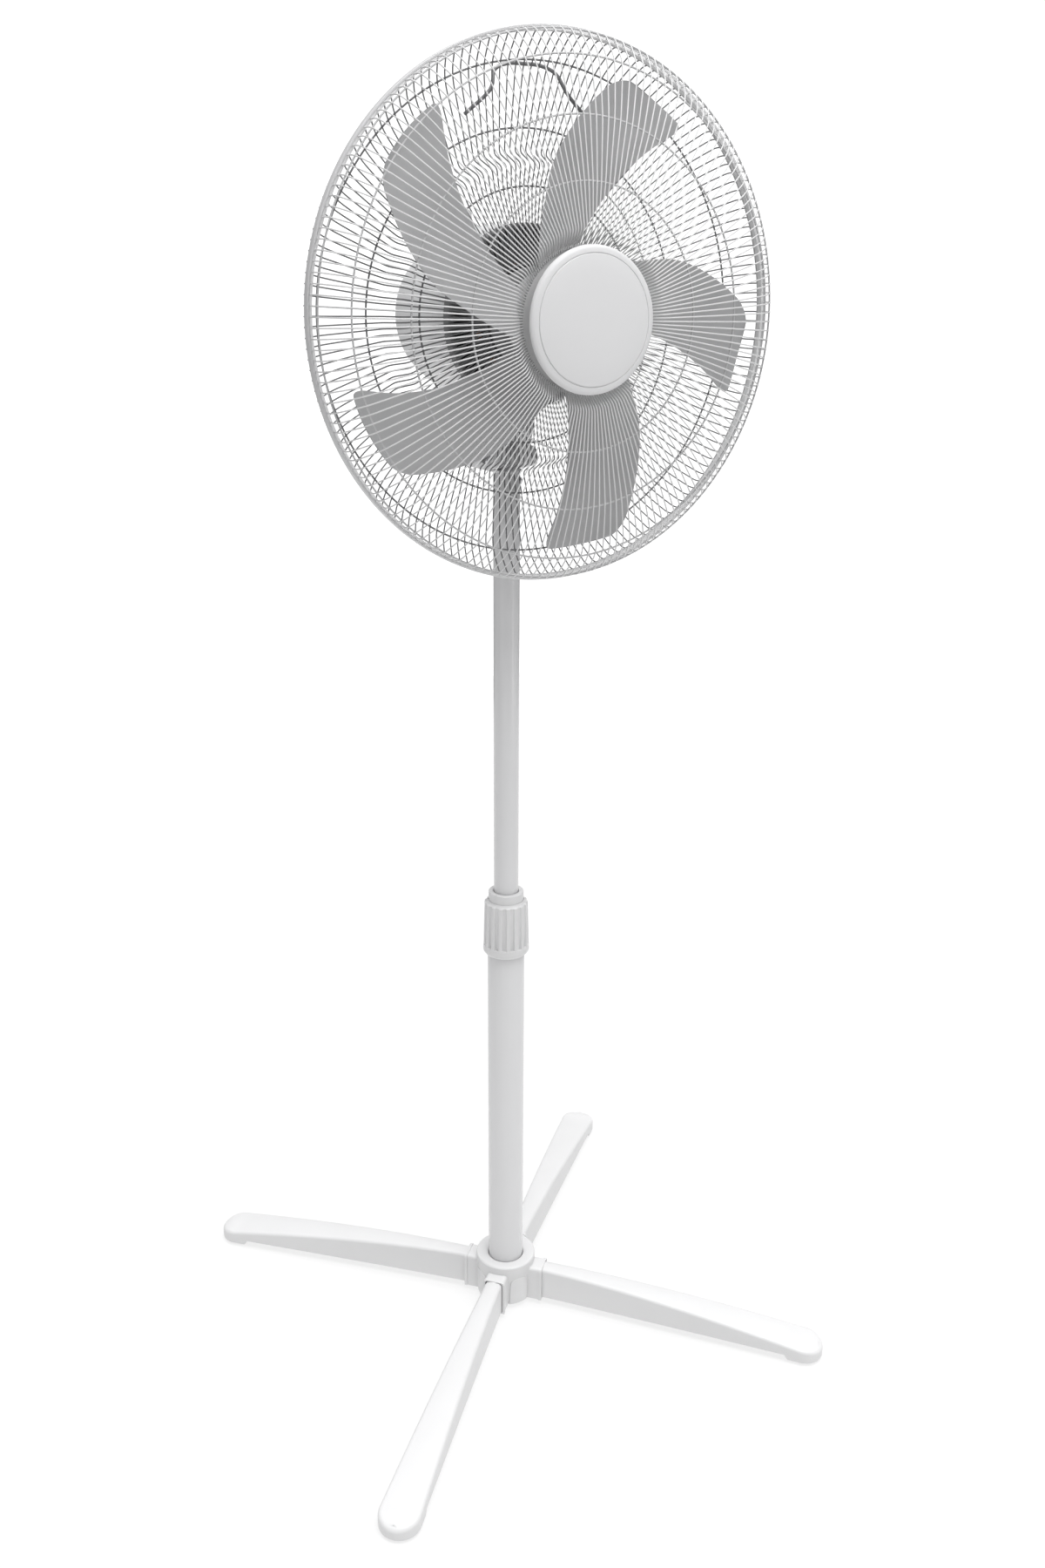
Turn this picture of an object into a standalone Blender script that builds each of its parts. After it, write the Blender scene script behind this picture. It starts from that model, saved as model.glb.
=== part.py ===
"""Pedestal fan: four-legged base, telescopic mast, tilting and oscillating head.

Metres, +Z up.  The origin is on the floor under the mast, and the fan blows towards -Y.
Turned pieces of the head are drawn as (radius, y) outlines about the fan axis.
"""
import math

import bmesh
import bpy
from mathutils import Matrix, Vector

GAP = 0.0003                # running and seating gap between neighbouring pieces
TAU = 2.0 * math.pi

# ---- base
LEG_REACH = 0.346           # mast axis to the centre of a leg's round tip
LEG_TIP_R = 0.0197
LEG_ROOT = 0.0468           # where a leg's full section starts
LEG_ROOT_TOP = 0.0465
LEG_TIP_TOP = 0.0188
LEG_UNDER = 0.0085
FOOT_UNDER = 0.0030
HUB_R = 0.0337
HUB_TOP = 0.0575
HUB_BOTTOM = 0.0060
HUB_FLOOR = 0.0120
SOCKET_OUT = 0.0465         # outer end of a leg socket
SOCKET_HALF_W = 0.0128
TONGUE_HALF_W = 0.0088
TONGUE_LOW, TONGUE_HIGH = 0.0120, 0.0430

# ---- mast
LOWER_R = 0.0196
UPPER_R = 0.0128
TUBE_WALL = 0.0012
LOWER_TOP = 0.4905
COLLAR_LOW, SHOULDER, COLLAR_HIGH = 0.4440, 0.5020, 0.5050
COLLAR_R_LOW, COLLAR_R_HIGH = 0.0244, 0.0228
BUSH_TOP = 0.5145
BUSH_R = 0.0184
BUSH_STEP = 0.4925          # where the bush narrows inside the collar
FLUTES = 17
SLEEVE_R = 0.0181           # clamp sleeve and slide bush, running in the lower tube and the collar
UPPER_LOW, UPPER_TOP = 0.4250, 0.9467

# ---- neck and tilt joint
NECK_LOW, NECK_TOP, NECK_R = 0.9470, 0.9490, 0.0148
SPIGOT_LOW = 0.9290         # the neck plugs into the upper tube
NECK_SCREW_Z = 0.9380
INLET_Y = 0.0225            # cord inlet under the switch box
TILT_Z = 0.9600
BARREL_R = 0.0093
BOX_HALF_W = 0.0152
BOX_FRONT, BOX_BACK = 0.0150, 0.0500
BOX_LOW, BOX_HIGH = 0.9470, 0.9720
SLOPE_START = (0.0270, 0.9720)
SLOPE_END = (0.0500, 0.9560)
BUTTON_PITCH = 0.0067
BUTTON_W = 0.0054
BUTTON_L = 0.0150
BRACKET_LOW, BRACKET_TOP = 0.9740, 0.9980

# ---- head
AXIS_Z = 1.0850             # height of the fan axis
BAND_R = 0.2250
BAND_Y = -0.0838
BAND_HALF = 0.0036
COVER_R = 0.0788
COVER_FRONT = -0.0410
COVER_SPLIT = -0.0300
COVER_BACK = 0.1180
GUARD_WIRES = 52
GUARD_WIRE = 0.0040
NUT_BORE = 0.0145           # guard nut on the threaded boss of the motor's front cover
NUT_FRONT = -0.0540
CAP_R = 0.0590
CAP_BACK, CAP_FACE = -0.1484, -0.1530
SKIRT_BACK = -0.1372        # the cap plugs through the inner rings of the front guard

# ---- impeller
BLADES = 5
BLADE_TIP_R = 0.1970
BLADE_HUB_R = 0.0400
BLADE_T = 0.0022
SHAFT_R = 0.0040

# ---- oscillation gear, plan positions about the mast axis
LINK_PIN = (0.0140, 0.0000)
CRANK_AT = (0.0080, 0.0560)
SPINDLE_AT = (-0.0160, 0.0560)
CRANK_THROW = 0.0082
WORM_TEETH = 20
WORM_WHEEL_R = 0.0115
PINION_TEETH = 10
CRANK_TEETH = 24

FINISHES = {
    # name: (colour, roughness, metallic)
    "white_plastic": ((0.83, 0.83, 0.83), 0.38, 0.0),
    "white_paint": ((0.80, 0.80, 0.81), 0.30, 0.0),
    "wire_coating": ((0.78, 0.78, 0.79), 0.35, 0.0),
    "blade_plastic": ((0.46, 0.46, 0.47), 0.45, 0.0),
    "dark_plastic": ((0.10, 0.10, 0.105), 0.50, 0.0),
    "cover_plastic": ((0.62, 0.62, 0.63), 0.42, 0.0),
    "rubber": ((0.20, 0.20, 0.20), 0.85, 0.0),
    "steel": ((0.55, 0.55, 0.56), 0.30, 1.0),
    "lamination": ((0.30, 0.30, 0.32), 0.45, 0.9),
    "copper": ((0.72, 0.36, 0.18), 0.35, 0.9),
    "casting": ((0.50, 0.51, 0.52), 0.50, 0.9),
    "gear_nylon": ((0.75, 0.72, 0.62), 0.50, 0.0),
}


# ------------------------------------------------------------------ tools
def clear_scene():
    """Remove whatever the start-up file holds."""
    for obj in list(bpy.data.objects):
        bpy.data.objects.remove(obj, do_unlink=True)


def finish(name):
    """Return the named Principled material, making it the first time."""
    material = bpy.data.materials.get(name)
    if material is None:
        colour, roughness, metallic = FINISHES[name]
        material = bpy.data.materials.new(name)
        material.use_nodes = True
        shader = material.node_tree.nodes["Principled BSDF"]
        shader.inputs["Base Color"].default_value = (*colour, 1.0)
        shader.inputs["Roughness"].default_value = roughness
        shader.inputs["Metallic"].default_value = metallic
        material.diffuse_color = (*colour, 1.0)
    return material


def make(name, bm, look, origin=(0.0, 0.0, 0.0)):
    """Make an object from a bmesh drawn in world coordinates, with its origin at a given point."""
    bmesh.ops.remove_doubles(bm, verts=bm.verts, dist=1e-6)
    bmesh.ops.recalc_face_normals(bm, faces=bm.faces)
    bmesh.ops.translate(bm, verts=bm.verts, vec=-Vector(origin))
    mesh = bpy.data.meshes.new(name)
    bm.to_mesh(mesh)
    bm.free()
    mesh.materials.append(finish(look))
    mesh.shade_smooth()
    mesh.set_sharp_from_angle(angle=math.radians(32))
    obj = bpy.data.objects.new(name, mesh)
    obj.location = origin
    bpy.context.scene.collection.objects.link(obj)
    return obj


def frame_z(x=0.0, y=0.0):
    """Upright axis through (x, y)."""
    return Matrix.Translation((x, y, 0.0))


def frame_y():
    """Fan axis: local height becomes world y."""
    return Matrix.Translation((0.0, 0.0, AXIS_Z)) @ Matrix.Rotation(-math.pi / 2, 4, "X")


def frame_x(z, y=0.0):
    """Cross axis: local height becomes world x."""
    return Matrix.Translation((0.0, y, z)) @ Matrix.Rotation(math.pi / 2, 4, "Y")


def lathe(outline, matrix, steps=24):
    """Turn a closed (radius, height) outline about the local Z axis."""
    bm = bmesh.new()
    ring = [bm.verts.new((radius, 0.0, height)) for radius, height in outline]
    edges = []
    for start, end in zip(ring, ring[1:] + ring[:1]):
        if start.co.x > 0.0 or end.co.x > 0.0:
            edges.append(bm.edges.new((start, end)))
    bmesh.ops.spin(bm, geom=ring + edges, cent=(0, 0, 0), axis=(0, 0, 1), dvec=(0, 0, 0),
                   angle=TAU, steps=steps, use_merge=True, use_duplicate=False)
    bmesh.ops.transform(bm, matrix=matrix, verts=bm.verts)
    return bm


def cylinder(radius, low, high, bore=0.0):
    """Outline of a plain cylinder or, with a bore, of a tube."""
    return [(bore, low), (radius, low), (radius, high), (bore, high)]


def prism(points, low, high, matrix=None):
    """Extrude a closed plan outline from one height to another."""
    bm = bmesh.new()
    face = bm.faces.new([bm.verts.new((x, y, low)) for x, y in points])
    grown = bmesh.ops.extrude_face_region(bm, geom=[face])
    tops = [item for item in grown["geom"] if isinstance(item, bmesh.types.BMVert)]
    bmesh.ops.translate(bm, verts=tops, vec=(0.0, 0.0, high - low))
    if matrix is not None:
        bmesh.ops.transform(bm, matrix=matrix, verts=bm.verts)
    return bm


def side_prism(points, half_width):
    """Extrude a closed (y, z) outline across X."""
    turn = Matrix(((0, 0, 1, 0), (1, 0, 0, 0), (0, 1, 0, 0), (0, 0, 0, 1)))
    return prism(points, -half_width, half_width, turn)


def block(low, high):
    """Box between two corners."""
    points = [(low[0], low[1]), (high[0], low[1]), (high[0], high[1]), (low[0], high[1])]
    return prism(points, low[2], high[2])


def loft(rings):
    """Skin a row of equal closed rings and cap both ends."""
    bm = bmesh.new()
    rows = [[bm.verts.new(point) for point in ring] for ring in rings]
    count = len(rows[0])
    for row, after in zip(rows, rows[1:]):
        for i in range(count):
            j = (i + 1) % count
            bm.faces.new((row[i], row[j], after[j], after[i]))
    bm.faces.new(rows[0])
    bm.faces.new(rows[-1])
    return bm


def combine(obj, bm, operation):
    """Cut a shape from an object, or add it, with a hidden tool object."""
    tool = make(obj.name + "_tool", bm, "steel")
    tool.hide_render = True
    tool.display_type = "WIRE"
    tool.hide_set(True)
    modifier = obj.modifiers.new("shape", "BOOLEAN")
    modifier.operation = operation
    modifier.object = tool
    modifier.solver = "EXACT"


def cut(obj, bm):
    combine(obj, bm, "DIFFERENCE")


def add(obj, bm):
    combine(obj, bm, "UNION")


def toothed(teeth, pitch_radius, tip, root, phase=0.0):
    """Plan outline of a spur gear with straight-flanked teeth."""
    pitch = TAU / teeth
    points = []
    for tooth in range(teeth):
        middle = phase + tooth * pitch
        for share, radius in ((-0.33, root), (-0.13, tip), (0.13, tip), (0.33, root)):
            angle = middle + share * pitch
            size = pitch_radius + radius
            points.append((size * math.cos(angle), size * math.sin(angle)))
    return points


def lobed(lobes, radius, depth, per_lobe=4):
    """Plan outline of a knob with round lobes."""
    points = []
    for i in range(lobes * per_lobe):
        angle = TAU * i / (lobes * per_lobe)
        size = radius - depth * (1 - math.cos(angle * lobes)) / 2
        points.append((size * math.cos(angle), size * math.sin(angle)))
    return points


# ------------------------------------------------------------------ base
def leg_half_width(reach):
    """Half width of a leg: slim at the hub, swelling evenly to its round tip."""
    start = 0.0094
    share = (reach - LEG_ROOT) / (LEG_REACH - LEG_ROOT)
    if share <= 1.0:
        return start + (LEG_TIP_R - start) * share ** 1.15
    past = min((reach - LEG_REACH) / LEG_TIP_R, 1.0)
    return LEG_TIP_R * math.sqrt(max(1.0 - past * past, 0.02))


def leg_top(reach):
    """Height of a leg's upper face, arching down to the tip."""
    share = (reach - LEG_ROOT) / (LEG_REACH - LEG_ROOT)
    if share <= 1.0:
        return LEG_ROOT_TOP - (LEG_ROOT_TOP - LEG_TIP_TOP) * share ** 1.7
    return LEG_TIP_TOP - 0.0035 * ((reach - LEG_REACH) / LEG_TIP_R) ** 2


def section(reach, half, low, high):
    """Cross-section of a leg with eased upper edges."""
    ease = min(0.0030, half * 0.5)
    return [(reach, -half, low), (reach, half, low), (reach, half, high - ease),
            (reach, half - ease, high), (reach, -half + ease, high), (reach, -half, high - ease)]


def make_leg(name, heading):
    foot_start = LEG_REACH - 0.0170
    rings = [section(0.0232, TONGUE_HALF_W - GAP, TONGUE_LOW, TONGUE_HIGH),
             section(LEG_ROOT, TONGUE_HALF_W - GAP, TONGUE_LOW, TONGUE_HIGH),
             section(LEG_ROOT, leg_half_width(LEG_ROOT), LEG_UNDER, leg_top(LEG_ROOT))]
    steps = 7
    for i in range(1, steps + 1):
        reach = LEG_ROOT + (foot_start - LEG_ROOT) * i / steps
        rings.append(section(reach, leg_half_width(reach), LEG_UNDER, leg_top(reach)))
    rings.append(section(foot_start + 0.001, leg_half_width(foot_start), FOOT_UNDER, leg_top(foot_start)))
    for share in (0.0, 0.4, 0.7, 0.88, 0.97, 0.995):
        reach = LEG_REACH + LEG_TIP_R * share
        rings.append(section(reach, leg_half_width(reach), FOOT_UNDER, leg_top(reach)))
    bm = loft(rings)
    bmesh.ops.rotate(bm, verts=bm.verts, cent=(0, 0, 0), matrix=Matrix.Rotation(heading, 3, "Z"))
    make(name, bm, "white_plastic")


def make_base():
    hub = make("base_hub", lathe([(0.0068, HUB_BOTTOM), (HUB_R - 0.001, HUB_BOTTOM), (HUB_R, 0.009),
                                  (HUB_R, HUB_TOP - 0.0020), (HUB_R - 0.0020, HUB_TOP),
                                  (LOWER_R + GAP, HUB_TOP),
                                  (LOWER_R + GAP, HUB_FLOOR), (0.0068, HUB_FLOOR)], frame_z(), 24),
               "white_plastic")
    for i, name in enumerate(("back_right", "back_left", "front_left", "front_right")):
        heading = math.radians(45 + 90 * i)
        turn = Matrix.Rotation(heading, 4, "Z")
        outer = block((0.0280, -SOCKET_HALF_W, HUB_BOTTOM), (SOCKET_OUT, SOCKET_HALF_W, 0.0490))
        bmesh.ops.transform(outer, matrix=turn, verts=outer.verts)
        add(hub, outer)
        inner = block((0.0225, -TONGUE_HALF_W, TONGUE_LOW - GAP),
                      (0.0600, TONGUE_HALF_W, TONGUE_HIGH + GAP))
        bmesh.ops.transform(inner, matrix=turn, verts=inner.verts)
        cut(hub, inner)
        make_leg("leg_" + name, heading)
        pad_at = (LEG_REACH * math.cos(heading), LEG_REACH * math.sin(heading))
        top = FOOT_UNDER - GAP
        make("foot_pad_" + name, lathe([(0, 0), (0.0135, 0), (0.0145, 0.0008), (0.0145, top), (0, top)],
                                       frame_z(*pad_at), 14), "rubber")
    make("tube_plug", lathe(cylinder(0.0181, HUB_FLOOR + GAP, 0.0320, 0.0066), frame_z(), 20), "casting")
    make("base_bolt", lathe([(0, 0.0020), (0.0100, 0.0020), (0.0110, 0.0028), (0.0110, 0.0057),
                             (0.0062, 0.0057), (0.0062, 0.0290), (0.0052, 0.0300), (0, 0.0300)],
                            frame_z(), 16), "steel")


# ------------------------------------------------------------------ mast
def fluted_collar():
    """Hand nut: tapered, fluted outside, plain bore over the bush."""
    bore = 0.0212
    count = FLUTES * 2
    flute = 0.0009
    inset = 0.86            # the shoulder slopes in to the bush

    def ring(height, depth):
        share = (height - COLLAR_LOW) / (SHOULDER - COLLAR_LOW)
        radius = COLLAR_R_LOW + (COLLAR_R_HIGH - COLLAR_R_LOW) * share
        points = []
        for i in range(count):
            size = radius - depth * (1 - math.cos(TAU * i * FLUTES / count)) / 2
            points.append((size * math.cos(TAU * i / count), size * math.sin(TAU * i / count), height))
        return points

    rings = [ring(COLLAR_LOW, 0.0), ring(COLLAR_LOW + 0.0095, 0.0),
             ring(COLLAR_LOW + 0.0105, flute), ring(SHOULDER, flute),
             [(inset * x, inset * y, COLLAR_HIGH) for x, y, z in ring(SHOULDER, 0.0)]]
    obj = make("height_collar", loft(rings), "white_plastic")
    cut(obj, lathe(cylinder(bore, COLLAR_LOW - 0.01, BUSH_STEP + 0.0010), frame_z(), 28))
    cut(obj, lathe(cylinder(BUSH_R + GAP, BUSH_STEP, COLLAR_HIGH + 0.01), frame_z(), 28))


def make_mast():
    make("lower_tube", lathe(cylinder(LOWER_R, HUB_FLOOR + GAP, LOWER_TOP, LOWER_R - TUBE_WALL),
                             frame_z(), 28), "white_paint")
    step = LOWER_TOP + GAP
    make("collar_bush", lathe([(LOWER_R + GAP, 0.4480), (0.0209, 0.4480), (0.0209, BUSH_STEP - 0.0010),
                               (BUSH_R, BUSH_STEP), (BUSH_R, BUSH_TOP - 0.0008), (BUSH_R - 0.0008, BUSH_TOP),
                               (UPPER_R + GAP, BUSH_TOP), (UPPER_R + GAP, step), (LOWER_R + GAP, step)],
                              frame_z(), 24),
         "white_plastic")
    fluted_collar()
    sleeve = make("clamp_sleeve", lathe(cylinder(SLEEVE_R, 0.4560, 0.4900, UPPER_R + GAP), frame_z(), 24),
                  "gear_nylon")
    cut(sleeve, block((0.0, -0.0010, 0.45), (0.03, 0.0010, 0.50)))
    make("slide_bush", lathe(cylinder(SLEEVE_R - 0.0001, UPPER_LOW + 0.003, 0.4450, UPPER_R + GAP),
                             frame_z(), 24),
         "gear_nylon")
    tube = make("upper_tube", lathe(cylinder(UPPER_R, UPPER_LOW, UPPER_TOP, UPPER_R - TUBE_WALL),
                                    frame_z(), 24), "white_paint")
    cut(tube, lathe(cylinder(0.0023, 0.0080, 0.0300), frame_x(NECK_SCREW_Z), 8))


# ------------------------------------------------------------------ neck and switch box
def slope_frame():
    """Frame on the button face: local Z points out of it, local X stays across."""
    start = Vector((0.0, *SLOPE_START))
    end = Vector((0.0, *SLOPE_END))
    along = (end - start).normalized()
    across = Vector((1.0, 0.0, 0.0))
    out = across.cross(along)
    middle = (start + end) / 2
    return Matrix(((across.x, along.x, out.x, middle.x),
                   (across.y, along.y, out.y, middle.y),
                   (across.z, along.z, out.z, middle.z),
                   (0, 0, 0, 1)))


def make_neck():
    spigot_r = UPPER_R - TUBE_WALL - GAP
    neck = make("neck", lathe([(0, SPIGOT_LOW), (spigot_r, SPIGOT_LOW), (spigot_r, NECK_LOW),
                               (NECK_R, NECK_LOW), (NECK_R, NECK_TOP), (0, NECK_TOP)], frame_z(), 24),
                "white_plastic")
    tongue = side_prism([(-BARREL_R, NECK_TOP - 0.001), (BARREL_R, NECK_TOP - 0.001)]
                        + [(BARREL_R * math.cos(a), TILT_Z + BARREL_R * math.sin(a))
                           for a in [math.pi * i / 8 for i in range(9)]], 0.0070)
    add(neck, tongue)
    add(neck, side_prism([(0.0, BOX_LOW + 0.0002), (BOX_BACK - 0.004, BOX_LOW + 0.0002),
                          (BOX_BACK, BOX_LOW + 0.004), SLOPE_END, SLOPE_START, (BOX_FRONT + 0.003, BOX_HIGH),
                          (BOX_FRONT, BOX_HIGH - 0.003), (BOX_FRONT, NECK_TOP - 0.0002),
                          (0.0, NECK_TOP - 0.0002)], BOX_HALF_W))
    wall = 0.0020
    cut(neck, side_prism([(BOX_FRONT + wall, BOX_LOW - 0.01), (BOX_BACK - wall, BOX_LOW - 0.01),
                          (BOX_BACK - wall, SLOPE_END[1] - 0.0013),
                          (SLOPE_START[0] - 0.0006, BOX_HIGH - wall),
                          (BOX_FRONT + wall + 0.002, BOX_HIGH - wall),
                          (BOX_FRONT + wall, BOX_HIGH - wall - 0.002)], BOX_HALF_W - wall))
    cut(neck, lathe(cylinder(0.0033, -0.02, 0.02), frame_x(TILT_Z), 10))
    cut(neck, lathe(cylinder(0.0023, 0.0092, 0.0300), frame_x(NECK_SCREW_Z), 8))
    for number in range(4):
        x = (number - 1.5) * BUTTON_PITCH
        half_w, half_l = BUTTON_W / 2 + GAP, BUTTON_L / 2 + GAP
        hole = block((x - half_w, -half_l, -0.006), (x + half_w, half_l, 0.006))
        bmesh.ops.transform(hole, matrix=slope_frame(), verts=hole.verts)
        cut(neck, hole)
    make("neck_screw", lathe([(0, 0.0095), (0.0020, 0.0095), (0.0020, 0.0131), (0.0036, 0.0131),
                              (0.0036, 0.0141), (0.0032, 0.0149), (0, 0.0149)],
                             frame_x(NECK_SCREW_Z), 8), "steel")
    inset = wall + GAP
    cover = make("switch_box_cover", block((-BOX_HALF_W + inset, BOX_FRONT + inset, BOX_LOW),
                                           (BOX_HALF_W - inset, BOX_BACK - inset, BOX_LOW + 0.0018)),
                 "white_plastic")
    cut(cover, lathe(cylinder(0.0050, BOX_LOW - 0.01, BOX_LOW + 0.01), frame_z(0.0, INLET_Y), 10))
    low, high, bore = BOX_LOW - 0.0024, BOX_LOW + 0.0024, 0.0034
    make("cord_bush", lathe([(bore, low), (0.0048, low), (0.0058, BOX_LOW - GAP), (0.0047, BOX_LOW - GAP),
                             (0.0047, high), (bore, high)], frame_z(0.0, INLET_Y), 10), "rubber")
    switch = block((-0.0120, -0.0040, -0.0130), (0.0120, 0.0040, -0.0095))
    bmesh.ops.transform(switch, matrix=slope_frame(), verts=switch.verts)
    make("speed_switch", switch, "dark_plastic")
    for number in range(4):
        x = (number - 1.5) * BUTTON_PITCH
        bm = block((x - BUTTON_W / 2, -BUTTON_L / 2, -0.0055), (x + BUTTON_W / 2, BUTTON_L / 2, 0.0040))
        bmesh.ops.bevel(bm, geom=[e for e in bm.edges if min(v.co.z for v in e.verts) > 0.0],
                        offset=0.0010, segments=1, affect="EDGES")
        bmesh.ops.transform(bm, matrix=slope_frame(), verts=bm.verts)
        origin = slope_frame() @ Vector((x, 0.0, 0.0))
        make("speed_button_%d" % number, bm, "white_plastic", origin)


# ------------------------------------------------------------------ tilt joint
def make_tilt_joint():
    inner, outer = 0.0073, 0.0200
    cheek_r, depth = 0.0105, 0.0150
    haunch = BRACKET_LOW + 0.0100
    plate = [(-cheek_r, BRACKET_LOW), (cheek_r, BRACKET_LOW), (depth, haunch), (depth, BRACKET_TOP),
             (-depth, BRACKET_TOP), (-depth, haunch)]
    bracket = make("tilt_bracket", side_prism(plate, outer), "cover_plastic")
    for side in (-1, 1):
        cheek = [(cheek_r, BRACKET_LOW + 0.001), (-cheek_r, BRACKET_LOW + 0.001)]
        for i in range(9):
            angle = math.pi + math.pi * i / 8
            cheek.append((cheek_r * math.cos(angle), TILT_Z + cheek_r * math.sin(angle)))
        bm = side_prism(cheek, (outer - inner) / 2)
        bmesh.ops.translate(bm, verts=bm.verts, vec=(side * (outer + inner) / 2, 0, 0))
        add(bracket, bm)
    add(bracket, lathe(cylinder(0.0020, BRACKET_TOP - 0.002, 1.0225), frame_z(*LINK_PIN), 8))
    cut(bracket, lathe(cylinder(0.0063, 0.9785, 1.01), frame_z(), 16))
    cut(bracket, lathe(cylinder(0.0033, -0.03, 0.03), frame_x(TILT_Z), 10))
    make("tilt_bolt", lathe([(0, -0.0245), (0.0048, -0.0245), (0.0055, -0.0238), (0.0055, -0.0203),
                             (0.0030, -0.0203), (0.0030, 0.0250), (0, 0.0250)], frame_x(TILT_Z), 10), "steel")
    knob = make("tilt_knob", prism(lobed(8, 0.0096, 0.0012), 0.0203, 0.0292, frame_x(TILT_Z)),
                "white_plastic", (0.0, 0.0, TILT_Z))
    cut(knob, lathe(cylinder(0.0033, 0.01, 0.0256), frame_x(TILT_Z), 10))


# ------------------------------------------------------------------ motor
def bell_radius(y):
    """Outer radius of the rear cover, narrowing gently and then rounding off at its back."""
    taper = COVER_R - 0.0100 * max(0.0, (y - 0.0400) / 0.0500) ** 1.3
    turn = (y - 0.0980) / (COVER_BACK - 0.0980)
    if turn <= 0.0:
        return taper
    start = bell_radius(0.0980)
    return start - 0.0420 * (1.0 - math.sqrt(max(0.0, 1.0 - turn * turn)))


def make_covers():
    stations = [COVER_SPLIT, 0.0400, 0.0700, 0.0980, 0.1100, 0.1160, COVER_BACK]
    wall = 0.0026
    outer = [(bell_radius(y), y) for y in stations]
    inner = [(bell_radius(y) - wall, min(y, COVER_BACK - wall)) for y in stations]
    rear = make("motor_rear_cover", lathe(outer + [(0.0, COVER_BACK), (0.0, COVER_BACK - wall)] + inner[::-1],
                                          frame_y(), 30), "cover_plastic")
    slots = 10
    for i in range(slots):
        angle = TAU * (i + 0.5) / slots
        slot = block((-0.0022, 0.1000, 0.0120), (0.0022, 0.1300, 0.0280))
        turn = Matrix.Translation((0, 0, AXIS_Z)) @ Matrix.Rotation(angle, 4, "Y")
        bmesh.ops.transform(slot, matrix=turn, verts=slot.verts)
        cut(rear, slot)
    cut(rear, lathe(cylinder(0.0215, 0.99, 1.03), frame_z(), 20))
    cut(rear, lathe(cylinder(0.0036, 1.13, 1.19), frame_z(*SPINDLE_AT), 8))

    back = COVER_SPLIT - GAP
    seat = COVER_FRONT - 0.0020
    boss_r, boss_front = NUT_BORE - GAP, NUT_FRONT + 0.0015
    front = make("motor_front_cover",
                 lathe([(0.0120, boss_front), (boss_r, boss_front), (boss_r, seat),
                        (0.0462, seat), (0.0472, COVER_FRONT), (COVER_R - 0.0040, COVER_FRONT),
                        (COVER_R, COVER_FRONT + 0.0040), (COVER_R, back), (COVER_R - wall, back),
                        (COVER_R - wall, COVER_FRONT + 0.0040), (0.0120, COVER_FRONT + wall)],
                       frame_y(), 30), "dark_plastic")
    vents = 12
    for i in range(vents):
        angle = TAU * (i + 0.5) / vents
        slot = block((-0.0036, -0.06, 0.0480), (0.0036, -0.0372, 0.0700))
        turn = Matrix.Translation((0, 0, AXIS_Z)) @ Matrix.Rotation(angle, 4, "Y")
        bmesh.ops.transform(slot, matrix=turn, verts=slot.verts)
        cut(front, slot)


def make_motor():
    """Capacitor motor inside the covers: core, windings, bearings, rotor and shaft."""
    bore = 0.0262
    make("stator_core", lathe(cylinder(0.0550, -0.0180, 0.0180, bore), frame_y(), 24), "lamination")
    for name, low, high in (("front_winding", -0.0310, -0.0183), ("rear_winding", 0.0183, 0.0310)):
        middle = (low + high) / 2
        make(name, lathe([(0.0300, low + 0.003), (0.0330, low), (0.0450, low), (0.0480, low + 0.003),
                          (0.0480, high), (0.0300, high)] if middle < 0 else
                         [(0.0300, low), (0.0480, low), (0.0480, high - 0.003), (0.0450, high),
                          (0.0330, high), (0.0300, high - 0.003)], frame_y(), 20), "copper")
    make("front_bearing", lathe([(SHAFT_R + GAP, -0.0440), (0.0080, -0.0440), (0.0117, -0.0410),
                                 (0.0117, -0.0380), (0.0080, -0.0345), (SHAFT_R + GAP, -0.0345)],
                                frame_y(), 16), "steel")
    make("rear_bearing", lathe(cylinder(0.0080, 0.0378, 0.0450, SHAFT_R + GAP), frame_y(), 16), "steel")
    make("motor_capacitor", block((0.0100, 0.0390, 1.1130), (0.0420, 0.0720, 1.1300)), "dark_plastic")
    make("rotor_core", lathe(cylinder(0.0255, -0.0170, 0.0170, SHAFT_R + GAP), frame_y(), 20), "lamination")
    shaft = make("motor_shaft", lathe([(0, -0.1330), (SHAFT_R - 0.0006, -0.1330), (SHAFT_R, -0.1324),
                                       (SHAFT_R, 0.0460), (0.0029, 0.0460), (0.0029, 0.0680), (0, 0.0680)],
                                      frame_y(), 14), "steel", (0.0, 0.0, AXIS_Z))
    pin_frame = frame_x(AXIS_Z, -0.0765)
    cut(shaft, lathe(cylinder(0.0015, -0.02, 0.02), pin_frame, 8))
    make("drive_pin", lathe(cylinder(0.0012, -0.0110, 0.0110), pin_frame, 8), "steel")


# ------------------------------------------------------------------ oscillation gear
def make_worm():
    """Single-start worm about the fan axis; the thread rises one tooth pitch per turn."""
    pitch = TAU * WORM_WHEEL_R / WORM_TEETH
    low, high = 0.0485, 0.0635
    around, along = 12, 20
    rings = []
    for j in range(along + 1):
        y = low + (high - low) * j / along
        ring = []
        for i in range(around):
            angle = TAU * i / around
            wave = math.cos(TAU * ((y - SPINDLE_AT[1]) / pitch) - angle)
            size = 0.0044 + 0.0008 * max(-1.0, min(1.0, 1.6 * wave))
            ring.append((size * math.cos(angle), y, AXIS_Z + size * math.sin(angle)))
        rings.append(ring)
    worm = make("worm", loft(rings), "steel")
    cut(worm, lathe(cylinder(0.0032, 0.04, 0.07), frame_y(), 10))


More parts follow.
